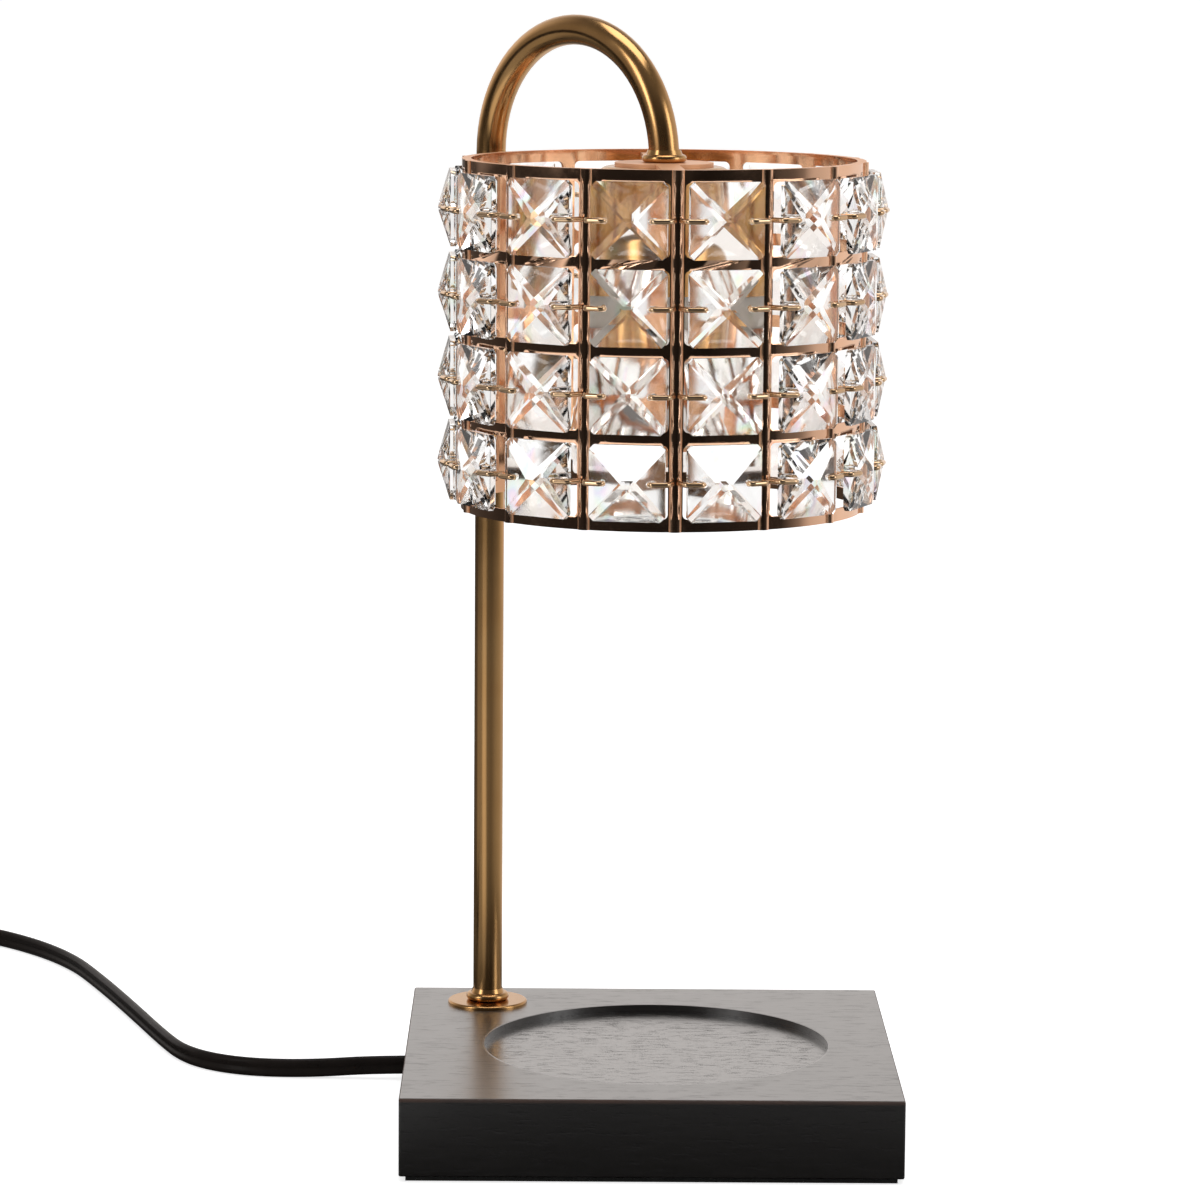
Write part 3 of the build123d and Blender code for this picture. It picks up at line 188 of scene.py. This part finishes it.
# Camera
def make_camera():
    """Camera of the photograph."""
    data = bpy.data.cameras.new("photo_camera")
    data.sensor_width = SENSOR_WIDTH
    data.lens = FOCAL_PIXELS / PHOTO_PIXELS * SENSOR_WIDTH
    data.clip_end = 100
    camera = link_object("photo_camera", data)
    yaw = math.radians(CAMERA_YAW)
    pitch = math.radians(CAMERA_PITCH)
    roll = math.radians(CAMERA_ROLL)
    forward = Vector((math.sin(yaw) * math.cos(pitch), math.cos(yaw) * math.cos(pitch), -math.sin(pitch)))
    level = Vector((math.cos(yaw), -math.sin(yaw), 0))
    above = level.cross(forward)
    right = level * math.cos(roll) + above * math.sin(roll)
    top = above * math.cos(roll) - level * math.sin(roll)
    turn = Matrix((right, top, -forward)).transposed()
    camera.matrix_world = Matrix.Translation(CAMERA_PLACE) @ turn.to_4x4()
    bpy.context.scene.camera = camera


# Node graphs
class Graph:
    """Short calls for the nodes of one material or of the world."""

    def __init__(self, owner):
        self.owner = owner
        owner.use_nodes = True
        self.tree = owner.node_tree

    def add(self, kind, settings=None, **inputs):
        """New node; inputs are numbers, colours or sockets, by the input's name with _ for a space."""
        node = self.tree.nodes.new(kind)
        for key, value in (settings or {}).items():
            setattr(node, key, value)
        for key, value in inputs.items():
            self.put(node.inputs[key.replace("_", " ")], value)
        return node

    def put(self, socket, value):
        """Link a socket to an input, or set the input's own value."""
        if isinstance(value, bpy.types.NodeSocket):
            self.tree.links.new(value, socket)
        else:
            socket.default_value = value

    def math(self, operation, first, second=0.0, clamp=False):
        """One operation on two numbers."""
        node = self.tree.nodes.new("ShaderNodeMath")
        node.operation = operation
        node.use_clamp = clamp
        self.put(node.inputs[0], first)
        self.put(node.inputs[1], second)
        return node.outputs[0]

    def vector(self, operation, first, second=(0, 0, 0)):
        """One operation on two vectors."""
        node = self.tree.nodes.new("ShaderNodeVectorMath")
        node.operation = operation
        self.put(node.inputs[0], first)
        self.put(node.inputs[1], second)
        return node.outputs["Vector" if operation in ("SUBTRACT", "MULTIPLY") else "Value"]

    def normal(self):
        """Normal of the surface."""
        return self.add("ShaderNodeNewGeometry").outputs["Normal"]

    def parts(self, vector):
        """X, Y and Z of a vector."""
        return self.add("ShaderNodeSeparateXYZ", Vector=vector).outputs

    def place(self, scale):
        """Row-frame coordinates, scaled along each axis."""
        coordinates = self.add("ShaderNodeTexCoord").outputs["Object"]
        mapping = self.add("ShaderNodeMapping", Vector=coordinates, Scale=scale)
        return mapping.outputs["Vector"]

    def radius(self, axis):
        """Distance from an upright axis."""
        return self.vector("DISTANCE", self.place((1, 1, 0)), axis)

    def noise(self, scale, detail=3.0, roughness=0.5):
        """Noise with its own scale along each axis, in features a metre."""
        node = self.add(
            "ShaderNodeTexNoise", Vector=self.place(scale), Scale=1.0, Detail=detail, Roughness=roughness
        )
        return node.outputs["Fac"]

    def cells(self, scale, feature="F1"):
        """Distance field of scattered cells."""
        node = self.add("ShaderNodeTexVoronoi", {"feature": feature}, Vector=self.place(scale), Scale=1.0)
        return node.outputs["Distance"]

    def spread(self, value, low, high, to_low=0.0, to_high=1.0):
        """Stretch of a value's range, with its ends held."""
        node = self.add(
            "ShaderNodeMapRange", Value=value, From_Min=low, From_Max=high, To_Min=to_low, To_Max=to_high
        )
        return node.outputs["Result"]

    def blend(self, factor, first, second):
        """Mix of two colours."""
        node = self.tree.nodes.new("ShaderNodeMix")
        node.data_type = "RGBA"
        self.put(node.inputs[0], factor)
        self.put(node.inputs[6], first)
        self.put(node.inputs[7], second)
        return node.outputs[2]

    def bump(self, height, distance, strength=1.0, normal=None):
        """Normal of a height field, its depth in metres."""
        node = self.add("ShaderNodeBump", Height=height, Distance=distance, Strength=strength)
        if normal is not None:
            self.put(node.inputs["Normal"], normal)
        return node.outputs["Normal"]

    def rounded(self, radius):
        """Normal with the edges rounded over."""
        return self.add("ShaderNodeBevel", {"samples": 6}, Radius=radius).outputs["Normal"]

    def edges(self, radius):
        """One along sharp edges, nothing elsewhere."""
        return self.spread(self.vector("DOT_PRODUCT", self.rounded(radius), self.normal()), 0.97, 0.80)


def finish(name, **inputs):
    """Graph of a new Principled finish with plain inputs set on the shader."""
    graph = Graph(bpy.data.materials.new(name))
    graph.shader = graph.tree.nodes["Principled BSDF"]
    for key, value in inputs.items():
        graph.shader.inputs[key.replace("_", " ")].default_value = value
    return graph


def dress(graph, **inputs):
    """Link the shader's inputs to sockets of its graph."""
    for key, value in inputs.items():
        graph.put(graph.shader.inputs[key.replace("_", " ")], value)
    return graph.owner


def weighted(graph, *terms):
    """Sum of products."""
    total = 0.0
    for first, second in terms:
        total = graph.math("ADD", total, graph.math("MULTIPLY", first, second))
    return total


# Finishes
def black_wood():
    """Black stain over fine grain, open-pored in the recess, with bare brown wood along the upper edges."""
    graph = finish("black_wood", Specular_IOR_Level=1.0, IOR=1.5, Coat_Weight=1.0, Coat_Roughness=0.28)
    grain = graph.noise((60, 1000, 1000), detail=4, roughness=0.6)
    broad = graph.noise((10, 70, 70), detail=2)
    pores = graph.spread(graph.noise((160, 800, 800), detail=3, roughness=0.65), 0.55, 0.68)
    radius = graph.radius(RECESS_PLACE)
    dish = graph.spread(radius, RECESS_RADIUS, RECESS_RADIUS - RECESS_EDGE)
    slope = graph.spread(radius, RECESS_RADIUS, RECESS_RADIUS + RECESS_RIM)
    depth = graph.spread(dish, 0.0, 1.0, PORES_ON_TOP, PORES_IN_RECESS)
    tilt = graph.parts(graph.normal())["Z"]
    below = graph.math("SUBTRACT", BASE_TOP, graph.parts(graph.place((1, 1, 1)))["Z"])
    clear = graph.spread(graph.math("SUBTRACT", radius, RECESS_RADIUS), *NOT_WORN_WITHIN)
    edge = graph.math("MULTIPLY", graph.spread(below, *WORN_DOWN_TO), graph.spread(tilt, 0.97, 0.85))
    edge = graph.math("MULTIPLY", edge, clear)
    wear = graph.math("MULTIPLY", edge, graph.spread(graph.noise((90, 260, 260)), 0.2, 0.6, 0.6, 1.0))
    color = graph.blend(grain, (0.0068, 0.0062, 0.0061, 1), (0.0165, 0.0145, 0.0136, 1))
    color = graph.blend(graph.math("MULTIPLY", broad, 0.4), color, (0.0190, 0.0152, 0.0132, 1))
    color = graph.blend(graph.math("MULTIPLY", pores, 0.6), color, (0.0030, 0.0027, 0.0026, 1))
    color = graph.blend(wear, color, (0.060, 0.025, 0.013, 1))
    relief = weighted(graph, (grain, 0.5), (graph.math("MULTIPLY", pores, depth), -1.0), (slope, RIM_DROP))
    satin = graph.spread(grain, 0.3, 0.7, 0.28, 0.36)
    roughness = weighted(graph, (satin, 1.0), (pores, 0.2), (dish, -0.12), (wear, 0.4))
    lacquer = graph.math("SUBTRACT", 1.0, wear)
    normal = graph.bump(relief, 0.00003, 0.4)
    return dress(
        graph, Base_Color=color, Roughness=roughness, Coat_Weight=lacquer, Normal=normal, Coat_Normal=normal
    )


def foam():
    graph = finish("foam", Specular_IOR_Level=0.2)
    bubbles = graph.cells((1600, 1600, 1600))
    tone = graph.spread(graph.noise((300, 300, 300)), 0.3, 0.7)
    color = graph.blend(tone, (0.018, 0.018, 0.018, 1), (0.032, 0.031, 0.030, 1))
    roughness = graph.spread(bubbles, 0.0, 0.6, 0.85, 1.0)
    return dress(graph, Base_Color=color, Roughness=roughness, Normal=graph.bump(bubbles, 0.0002, 0.8))


def brushed_metal(name, light, dark, along, roughness):
    """Satin plated metal with fine lines along one axis."""
    graph = finish(name, Metallic=1.0)
    lines = graph.noise(along, detail=3)
    haze = graph.noise((70, 70, 70), detail=2)
    color = graph.blend(graph.spread(haze, 0.3, 0.7), dark, light)
    low, high = roughness
    rough = graph.spread(graph.math("ADD", lines, haze), 0.7, 1.3, low, high)
    return dress(graph, Base_Color=color, Roughness=rough, Normal=graph.bump(lines, 0.000001, 0.3))


def antique_brass():
    return brushed_metal(
        "antique_brass", (0.57, 0.33, 0.135, 1), (0.50, 0.275, 0.105, 1), (500, 500, 30), (0.16, 0.23)
    )


def rose_gold():
    """Mirror-plated sheet, satin copper on the ribs' flanks and cut edges, with its inner side slightly
    rougher and painted a darker copper as painted shade.
    """
    graph = finish("rose_gold")
    haze = graph.noise((60, 60, 60), detail=3)
    fine = graph.noise((900, 900, 900), detail=2)
    low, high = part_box("shade_frame")
    axis = ((low.x + high.x) / 2, (low.y + high.y) / 2, 0)
    outward = graph.vector("SUBTRACT", graph.place((1, 1, 0)), axis)
    facing = graph.vector("DOT_PRODUCT", outward, graph.normal())
    facing = graph.math("DIVIDE", facing, (high.x - low.x) / 2)
    flank = graph.math("MULTIPLY", graph.spread(facing, 0.88, 0.60), graph.spread(facing, -0.5, -0.2))
    inside = graph.spread(facing, -0.3, -0.6)
    mirror = graph.blend(graph.spread(haze, 0.3, 0.7), (0.84, 0.51, 0.335, 1), (0.89, 0.57, 0.385, 1))
    # Painted shade: the inner side of the sheet gets a darker copper.
    color = graph.blend(inside, mirror, (0.78, 0.44, 0.255, 1))
    color = graph.blend(flank, color, (0.86, 0.46, 0.255, 1))
    polished = graph.spread(graph.math("ADD", haze, fine), 0.7, 1.3, 0.03, 0.09)
    rough = weighted(graph, (inside, 0.06), (flank, 0.35), (polished, 1.0))
    metallic = graph.math("SUBTRACT", 1.0, graph.math("MULTIPLY", flank, 0.5))
    waves = graph.bump(graph.noise((55, 55, 25), detail=1), 0.0012, 1.0)
    normal = graph.bump(fine, 0.000002, 0.3, waves)
    return dress(graph, Base_Color=color, Metallic=metallic, Roughness=rough, Normal=normal)


def crystal():
    """Clear cut glass whose tint carries a few faint painted rainbow glints, standing in for dispersed
    light.
    """
    graph = finish("crystal", Transmission_Weight=1.0, IOR=1.56, Roughness=0.05)
    # Painted rainbow glints: saturated hue patches in the glass's tint stand in for the dispersion of
    # light.
    painted_rainbow_saturation = graph.spread(graph.noise((170, 170, 70), detail=1), 0.62, 0.72, 0.008, 0.25)
    painted_rainbow_hue = graph.spread(graph.noise((120, 120, 120), detail=1), 0.3, 0.7)
    color = graph.add("ShaderNodeCombineColor", {"mode": "HSV"}, Red=painted_rainbow_hue, Green=painted_rainbow_saturation, Blue=1.0)
    return dress(graph, Base_Color=graph.vector("MULTIPLY", color.outputs["Color"], WARM_GLASS))


def gold_wire():
    return brushed_metal(
        "gold_wire", (0.84, 0.60, 0.38, 1), (0.72, 0.47, 0.27, 1), (900, 900, 900), (0.08, 0.16)
    )


def zinc_steel():
    return brushed_metal(
        "zinc_steel", (0.66, 0.66, 0.64, 1), (0.52, 0.52, 0.50, 1), (700, 700, 700), (0.25, 0.42)
    )


def contact_brass():
    return brushed_metal(
        "contact_brass", (0.76, 0.62, 0.36, 1), (0.60, 0.47, 0.24, 1), (1200, 90, 1200), (0.20, 0.34)
    )


def ceramic():
    graph = finish("ceramic", Specular_IOR_Level=0.5)
    speckle = graph.spread(graph.noise((900, 900, 900)), 0.62, 0.72)
    tone = graph.spread(graph.noise((120, 120, 120)), 0.3, 0.7)
    color = graph.blend(tone, (0.70, 0.67, 0.60, 1), (0.78, 0.755, 0.70, 1))
    color = graph.blend(graph.math("MULTIPLY", speckle, 0.35), color, (0.45, 0.42, 0.36, 1))
    normal = graph.bump(tone, 0.00003, 0.4, graph.rounded(0.0004))
    return dress(graph, Base_Color=color, Roughness=graph.spread(tone, 0.0, 1.0, 0.32, 0.5), Normal=normal)


def lamp_reflector():
    graph = finish("lamp_reflector", Metallic=1.0)
    facets = graph.cells((260, 260, 260))
    haze = graph.noise((90, 90, 90))
    color = graph.blend(graph.spread(haze, 0.3, 0.7), (0.90, 0.88, 0.85, 1), (0.95, 0.94, 0.92, 1))
    rough = graph.spread(haze, 0.3, 0.7, 0.06, 0.14)
    return dress(graph, Base_Color=color, Roughness=rough, Normal=graph.bump(facets, 0.0001, 0.25))


def lamp_glass():
    graph = finish("lamp_glass", Transmission_Weight=1.0, IOR=1.47)
    prisms = graph.cells((420, 420, 420))
    haze = graph.noise((150, 150, 150))
    color = graph.blend(haze, (0.96, 0.97, 0.97, 1), (0.985, 0.985, 0.98, 1))
    rough = graph.spread(haze, 0.3, 0.7, 0.04, 0.12)
    return dress(graph, Base_Color=color, Roughness=rough, Normal=graph.bump(prisms, 0.0005, 0.6))


def cord_jacket():
    graph = finish("cord_jacket", Specular_IOR_Level=0.06)
    waves = graph.noise((140, 140, 140), detail=2)
    fine = graph.noise((1300, 1300, 1300), detail=2)
    color = graph.blend(waves, (0.0105, 0.0088, 0.0080, 1), (0.0215, 0.0165, 0.0142, 1))
    rough = graph.spread(graph.math("ADD", waves, fine), 0.7, 1.3, 0.26, 0.38)
    return dress(graph, Base_Color=color, Roughness=rough, Normal=graph.bump(waves, 0.0002, 0.25))


def black_plastic():
    graph = finish("black_plastic", Specular_IOR_Level=0.45)
    texture = graph.noise((2200, 2200, 2200), detail=2)
    tone = graph.noise((120, 120, 120))
    color = graph.blend(tone, (0.0095, 0.0095, 0.0097, 1), (0.0165, 0.0163, 0.0160, 1))
    # Painted highlight: the colour is lighter along sharp edges.
    painted_edge_highlight = graph.math("MULTIPLY", graph.edges(0.0004), 0.4)
    color = graph.blend(painted_edge_highlight, color, (0.035, 0.035, 0.034, 1))
    rough = graph.spread(texture, 0.3, 0.7, 0.34, 0.5)
    normal = graph.bump(texture, 0.00003, 0.5, graph.rounded(0.0003))
    return dress(graph, Base_Color=color, Roughness=rough, Normal=normal)


def plain_plastic(name, light, dark):
    """Small moulded piece with a slight mottle."""
    graph = finish(name, Specular_IOR_Level=0.45)
    tone = graph.spread(graph.noise((200, 200, 200)), 0.3, 0.7)
    fine = graph.noise((1800, 1800, 1800))
    color = graph.blend(tone, dark, light)
    rough = graph.spread(fine, 0.3, 0.7, 0.3, 0.45)
    return dress(graph, Base_Color=color, Roughness=rough, Normal=graph.bump(fine, 0.00002, 0.4))


def circuit_board():
    graph = finish("circuit_board", Specular_IOR_Level=0.5)
    tracks = graph.spread(graph.cells((210, 210, 210)), 0.28, 0.33)
    color = graph.blend(tracks, (0.012, 0.085, 0.030, 1), (0.020, 0.13, 0.048, 1))
    rough = graph.spread(tracks, 0.0, 1.0, 0.28, 0.4)
    return dress(graph, Base_Color=color, Roughness=rough, Normal=graph.bump(tracks, 0.00004, 0.6))


FINISHES = {
    "black_wood": black_wood(),
    "foam": foam(),
    "antique_brass": antique_brass(),
    "rose_gold": rose_gold(),
    "crystal": crystal(),
    "gold_wire": gold_wire(),
    "zinc_steel": zinc_steel(),
    "ceramic": ceramic(),
    "contact_brass": contact_brass(),
    "lamp_reflector": lamp_reflector(),
    "lamp_glass": lamp_glass(),
    "cord_jacket": cord_jacket(),
    "black_plastic": black_plastic(),
    "shaft_plastic": plain_plastic("shaft_plastic", (0.72, 0.71, 0.67, 1), (0.60, 0.59, 0.55, 1)),
    "circuit_board": circuit_board(),
    "live_insulation": plain_plastic("live_insulation", (0.030, 0.030, 0.030, 1), (0.018, 0.018, 0.018, 1)),
    "neutral_insulation": plain_plastic("neutral_insulation", (0.78, 0.78, 0.76, 1), (0.66, 0.66, 0.63, 1)),
}


def dress_nodes():
    """Every solid gets the finish of its material slot."""
    for name, node in nodes.items():
        node.data.materials.clear()
        node.data.materials.append(FINISHES[slot_of_node[name]])


# Swept and turned meshes
def mesh_object(name, vertices, faces, slot, smooth=True):
    """New piece of the warmer with the finish of a slot."""
    mesh = bpy.data.meshes.new(name)
    mesh.from_pydata([tuple(vertex) for vertex in vertices], [], faces)
    for polygon in mesh.polygons:
        polygon.use_smooth = smooth
    mesh.materials.append(FINISHES[slot])
    mesh.update()
    made = link_object(name, mesh)
    return made


def ring_faces(rings, size, closed=False):
    """Quads between rings of equal size, with both ends capped unless the rings join up."""
    faces = []
    for n in range(rings if closed else rings - 1):
        here = n * size
        there = (n + 1) % rings * size
        for k in range(size):
            after = (k + 1) % size
            faces.append((here + k, here + after, there + after, there + k))
    if not closed:
        faces.append(tuple(reversed(range(size))))
        faces.append(tuple(range((rings - 1) * size, rings * size)))
    return faces


def smooth_line(name, route):
    """Points of the smooth curve whose control points are the route's."""
    data = bpy.data.curves.new(name, "CURVE")
    data.dimensions = "3D"
    spline = data.splines.new("NURBS")
    spline.points.add(len(route) - 1)
    for point, place in zip(spline.points, route):
        point.co = (*place, 1.0)
    spline.order_u = LINE_ORDER
    spline.use_endpoint_u = True
    spline.resolution_u = LINE_STEPS
    holder = link_object(name, data)
    line = bpy.data.meshes.new_from_object(holder)
    points = [vertex.co.copy() for vertex in line.vertices]
    bpy.data.objects.remove(holder)
    bpy.data.curves.remove(data)
    bpy.data.meshes.remove(line)
    return points


def twin_outline():
    """Section of the flat lead: two round strands, one ribbed, with a web between them."""
    radius = CORD_STRAND / 2
    offset = (CORD_WIDTH - CORD_STRAND) / 2
    join = math.asin(CORD_WEB / CORD_STRAND)
    sweep = 2 * (math.pi - join)
    outline = []
    for lobe in (1, -1):
        for n in range(CORD_POINTS_A_LOBE + 1):
            share = n / CORD_POINTS_A_LOBE
            angle = -math.pi / 2 + join + sweep * share
            rib = CORD_RIB_HEIGHT * math.cos(2 * math.pi * CORD_RIBS * share) if lobe < 0 else 0
            reach = radius - CORD_RIB_HEIGHT + rib
            outline.append((lobe * reach * math.cos(angle), lobe * (offset + reach * math.sin(angle))))
    return outline


def lead_mesh(name, points):
    """Flat lead along points, its width upright."""
    outline = twin_outline()
    vertices = []
    for n, point in enumerate(points):
        along = (points[min(n + 1, len(points) - 1)] - points[max(n - 1, 0)]).normalized()
        side = along.cross(UP).normalized()
        rise = side.cross(along)
        vertices.extend(point + side * across + rise * height for across, height in outline)
    made = mesh_object(name, vertices, ring_faces(len(points), len(outline)), "cord_jacket")
    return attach(made, "warmer")


def coil_place(turn):
    """Control point on the coil after a number of turns from its outer start, anticlockwise."""
    into_climb = turn - COIL_TURNS_A_LAYER
    inner = COIL_RADIUS - COIL_TURN_PITCH * COIL_TURNS_A_LAYER
    if turn <= COIL_TURNS_A_LAYER:
        radius = COIL_RADIUS - COIL_TURN_PITCH * turn
        z = COIL_LOW_Z
    elif into_climb < COIL_CLIMB_TURNS:
        radius = inner - COIL_TURN_PITCH * into_climb * (1 - 2 * into_climb)
        z = COIL_LOW_Z + (COIL_HIGH_Z - COIL_LOW_Z) * into_climb / COIL_CLIMB_TURNS
    else:
        radius = inner + COIL_TURN_PITCH * (into_climb - COIL_CLIMB_TURNS)
        z = COIL_HIGH_Z
    step = math.pi / COIL_POINTS_A_TURN
    radius /= (1 + math.cos(step)) / 2
    angle = math.pi + 2 * math.pi * turn
    return (COIL_X + radius * math.cos(angle), COIL_Y + radius * math.sin(angle), z)


def tail_route():
    """Control points of the lead from the dimmer round the coil to the plug."""
    turns = 2 * COIL_TURNS_A_LAYER + COIL_CLIMB_TURNS
    count = round(turns * COIL_POINTS_A_TURN)
    start = [(TAIL_X, y, z) for y, z in TAIL_START]
    loops = [coil_place((n + 0.5) / COIL_POINTS_A_TURN) for n in range(count)]
    end = [(TAIL_X, y, COIL_HIGH_Z) for y in ((COIL_Y + TAIL_END_Y) / 2, TAIL_END_Y)]
    return [*start, *loops, *end]


def make_cords():
    """The lead from base to dimmer and from dimmer to plug, with what lies on it."""
    lead_points = smooth_line("lead_line", LEAD_ROUTE)
    lead = lead_mesh("lead_base_to_dimmer", lead_points)
    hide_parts("cord_lead")
    tail_points = smooth_line("tail_line", tail_route())
    tail = lead_mesh("lead_dimmer_to_plug", tail_points)
    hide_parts("cord_coil")
    reliefs = make_reliefs()
    straps = make_straps()


def make_reliefs():
    """Tapered sleeves with round ribs, one for each end of the dimmer and one for the plug."""
    made = {}
    for node, toward in RELIEFS:
        low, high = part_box(node)
        middle = (low + high) / 2
        inside, tip = (low.y, high.y) if toward > 0 else (high.y, low.y)
        root = tip - toward * RELIEF_LENGTH
        stub = abs(root - inside)
        profile = relief_profile()
        if stub > RELIEF_GROOVE:
            profile = [(-stub, RELIEF_TIP_RADIUS), *profile]
        vertices = []
        for along, radius in profile:
            for k in range(ROUND_STEPS):
                angle = 2 * math.pi * k / ROUND_STEPS * toward
                x = middle.x + radius * math.cos(angle)
                z = middle.z + radius * math.sin(angle)
                vertices.append((x, root + toward * along, z))
        faces = ring_faces(len(profile), ROUND_STEPS)
        piece = mesh_object("sleeve_" + node, vertices, faces, "black_plastic")
        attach(piece, "warmer")
        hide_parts(node)
        made[node] = piece
    return made


def relief_profile():
    """(distance from the root, radius) along a sleeve whose ribs get smaller towards its tip."""
    steps = RELIEF_RIBS * RELIEF_STEPS_A_RIB
    profile = []
    for n in range(steps + 1):
        share = n / steps
        wave = (1 - math.cos(2 * math.pi * share * RELIEF_RIBS)) / 2
        taper = RELIEF_ROOT_RADIUS + (RELIEF_TIP_RADIUS - RELIEF_ROOT_RADIUS) * share
        profile.append((RELIEF_LENGTH * share, taper - RELIEF_GROOVE * wave * (1 - share / 2)))
    return profile


def make_straps():
    """Straps round the coil, each a soft closed loop."""
    low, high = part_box("coil_ties")
    inner = COIL_RADIUS - COIL_TURN_PITCH * COIL_TURNS_A_LAYER - CORD_STRAND - STRAP_THICKNESS
    outer = COIL_RADIUS + CORD_STRAND / 2 + 2 * STRAP_THICKNESS
    half_width = (outer - inner) / 2
    half_height = (high.z - low.z) / 2
    corners = [(0, -1), (0, 1), (STRAP_THICKNESS, 1), (STRAP_THICKNESS, -1)]
    faces = ring_faces(STRAP_STEPS, len(corners), closed=True)
    straps = []
    for number, angle in enumerate(STRAP_ANGLES):
        heading = math.radians(angle)
        outward = Vector((math.cos(heading), math.sin(heading), 0))
        across = Vector((-math.sin(heading), math.cos(heading), 0))
        center = Vector((COIL_X, COIL_Y, low.z + half_height)) + outward * ((inner + outer) / 2)
        vertices = []
        for n in range(STRAP_STEPS):
            turn = 2 * math.pi * n / STRAP_STEPS
            x = math.copysign(abs(math.cos(turn)) ** STRAP_SQUARENESS, math.cos(turn))
            z = math.copysign(abs(math.sin(turn)) ** STRAP_SQUARENESS, math.sin(turn))
            for inset, side in corners:
                place = center + outward * (x * (half_width - inset)) + UP * (z * (half_height - inset))
                vertices.append(place + across * (side * STRAP_WIDTH / 2))
        strap = mesh_object(f"coil_strap_{number + 1}", vertices, faces, "black_plastic")
        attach(strap, "warmer")
        straps.append(strap)
    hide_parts("coil_ties")
    return straps


# Stage: pale floor, white backdrop behind, darker room in front, and soft lamps
def light_path(graph):
    """Rays from the camera, from mirrors and through glass: one for each kind, nothing for the others."""
    path = graph.add("ShaderNodeLightPath")
    through = path.outputs["Is Transmission Ray"]
    mirrored = graph.math("SUBTRACT", path.outputs["Is Glossy Ray"], through, clamp=True)
    return path.outputs["Is Camera Ray"], mirrored, through


def round_tone(graph, place, stops):
    """Tone by the azimuth of a place or direction: 0 degrees in front, 90 on the right."""
    parts = graph.parts(place)
    azimuth = graph.math("ARCTAN2", parts["X"], graph.math("MULTIPLY", parts["Y"], -1.0))
    node = graph.add("ShaderNodeValToRGB", Fac=graph.spread(azimuth, -math.pi, math.pi))
    ramp = node.color_ramp
    while len(ramp.elements) < len(stops):
        ramp.elements.new(0.5)
    for element, (degrees, tone) in zip(ramp.elements, stops):
        element.position = degrees / 360 + 0.5
        element.color = (tone, tone, tone, 1)
    return node.outputs["Color"]


def make_floor():
    """Pale floor; mirrors see only its near part, as bright as the room on that side."""
    side = FLOOR_HALF_SIDE
    mesh = bpy.data.meshes.new("floor")
    corners = [(-side, -side, 0), (side, -side, 0), (side, side, 0), (-side, side, 0)]
    mesh.from_pydata(corners, [], [(0, 1, 2, 3)])
    graph = finish("pale_floor", Specular_IOR_Level=0.0, Roughness=1.0, Emission_Color=WHITE)
    place = graph.place((1, 1, 1))
    away = graph.vector("LENGTH", place)
    seen, mirrored, through = light_path(graph)
    tone = graph.math("MULTIPLY", round_tone(graph, place, TABLE_TONES), graph.spread(away, *TABLE_SHADE))
    glow = weighted(graph, (seen, FLOOR_SEEN), (mirrored, tone), (through, FLOOR_THROUGH_GLASS))
    dress(graph, Base_Color=graph.blend(mirrored, FLOOR_COLOR, BLACK), Emission_Strength=glow)
    beyond = graph.math("MULTIPLY", mirrored, graph.spread(away, *TABLE_REACH))
    clear = graph.add("ShaderNodeBsdfTransparent")
    mix = graph.tree.nodes.new("ShaderNodeMixShader")
    graph.put(mix.inputs[0], beyond)
    graph.put(mix.inputs[1], graph.shader.outputs[0])
    graph.put(mix.inputs[2], clear.outputs[0])
    graph.put(graph.tree.nodes["Material Output"].inputs["Surface"], mix.outputs[0])
    mesh.materials.append(graph.owner)
    link_object("floor", mesh)


def make_world():
    """White behind the object; mirrors and glass see a dim room in front of it."""
    world = bpy.data.worlds.new("studio")
    bpy.context.scene.world = world
    graph = Graph(world)
    direction = graph.add("ShaderNodeTexCoord").outputs["Generated"]
    height = graph.parts(direction)["Z"]
    low_room = round_tone(graph, direction, LOW_ROOM)
    high_room = round_tone(graph, direction, HIGH_ROOM)
    sides = graph.blend(graph.spread(height, *HORIZON), low_room, high_room)
    room = graph.blend(graph.spread(height, *CEILING), sides, CEILING_TONE)
    seen, mirrored, through = light_path(graph)
    warm = graph.math("ADD", mirrored, through)
    shaded = graph.math("SUBTRACT", 1.0, graph.math("ADD", seen, warm))
    glass_room = graph.spread(room, 0.0, 1.0, *THROUGH_GLASS)
    strength = weighted(graph, (seen, 1.0), (mirrored, room), (through, glass_room), (shaded, SHADED_LIGHT))
    background = graph.tree.nodes["Background"]
    graph.put(background.inputs["Color"], graph.blend(warm, WHITE, WARM_WHITE))
    graph.put(background.inputs["Strength"], strength)


def make_lamp(name, place, width, height, watts):
    """Soft rectangular lamp aimed at the object."""
    data = bpy.data.lights.new(name, "AREA")
    data.shape = "RECTANGLE"
    data.size = width
    data.size_y = height
    data.energy = watts
    lamp = link_object(name, data)
    lamp.location = place
    lamp.rotation_euler = (Vector(LAMP_TARGET) - Vector(place)).to_track_quat("-Z", "Y").to_euler()


def make_stage():
    """Floor, surroundings and lamps."""
    make_floor()
    make_world()
    for lamp in LAMPS:
        make_lamp(*lamp)
    bpy.context.scene.view_settings.view_transform = "Standard"


make_camera()
dress_nodes()
make_cords()
make_stage()
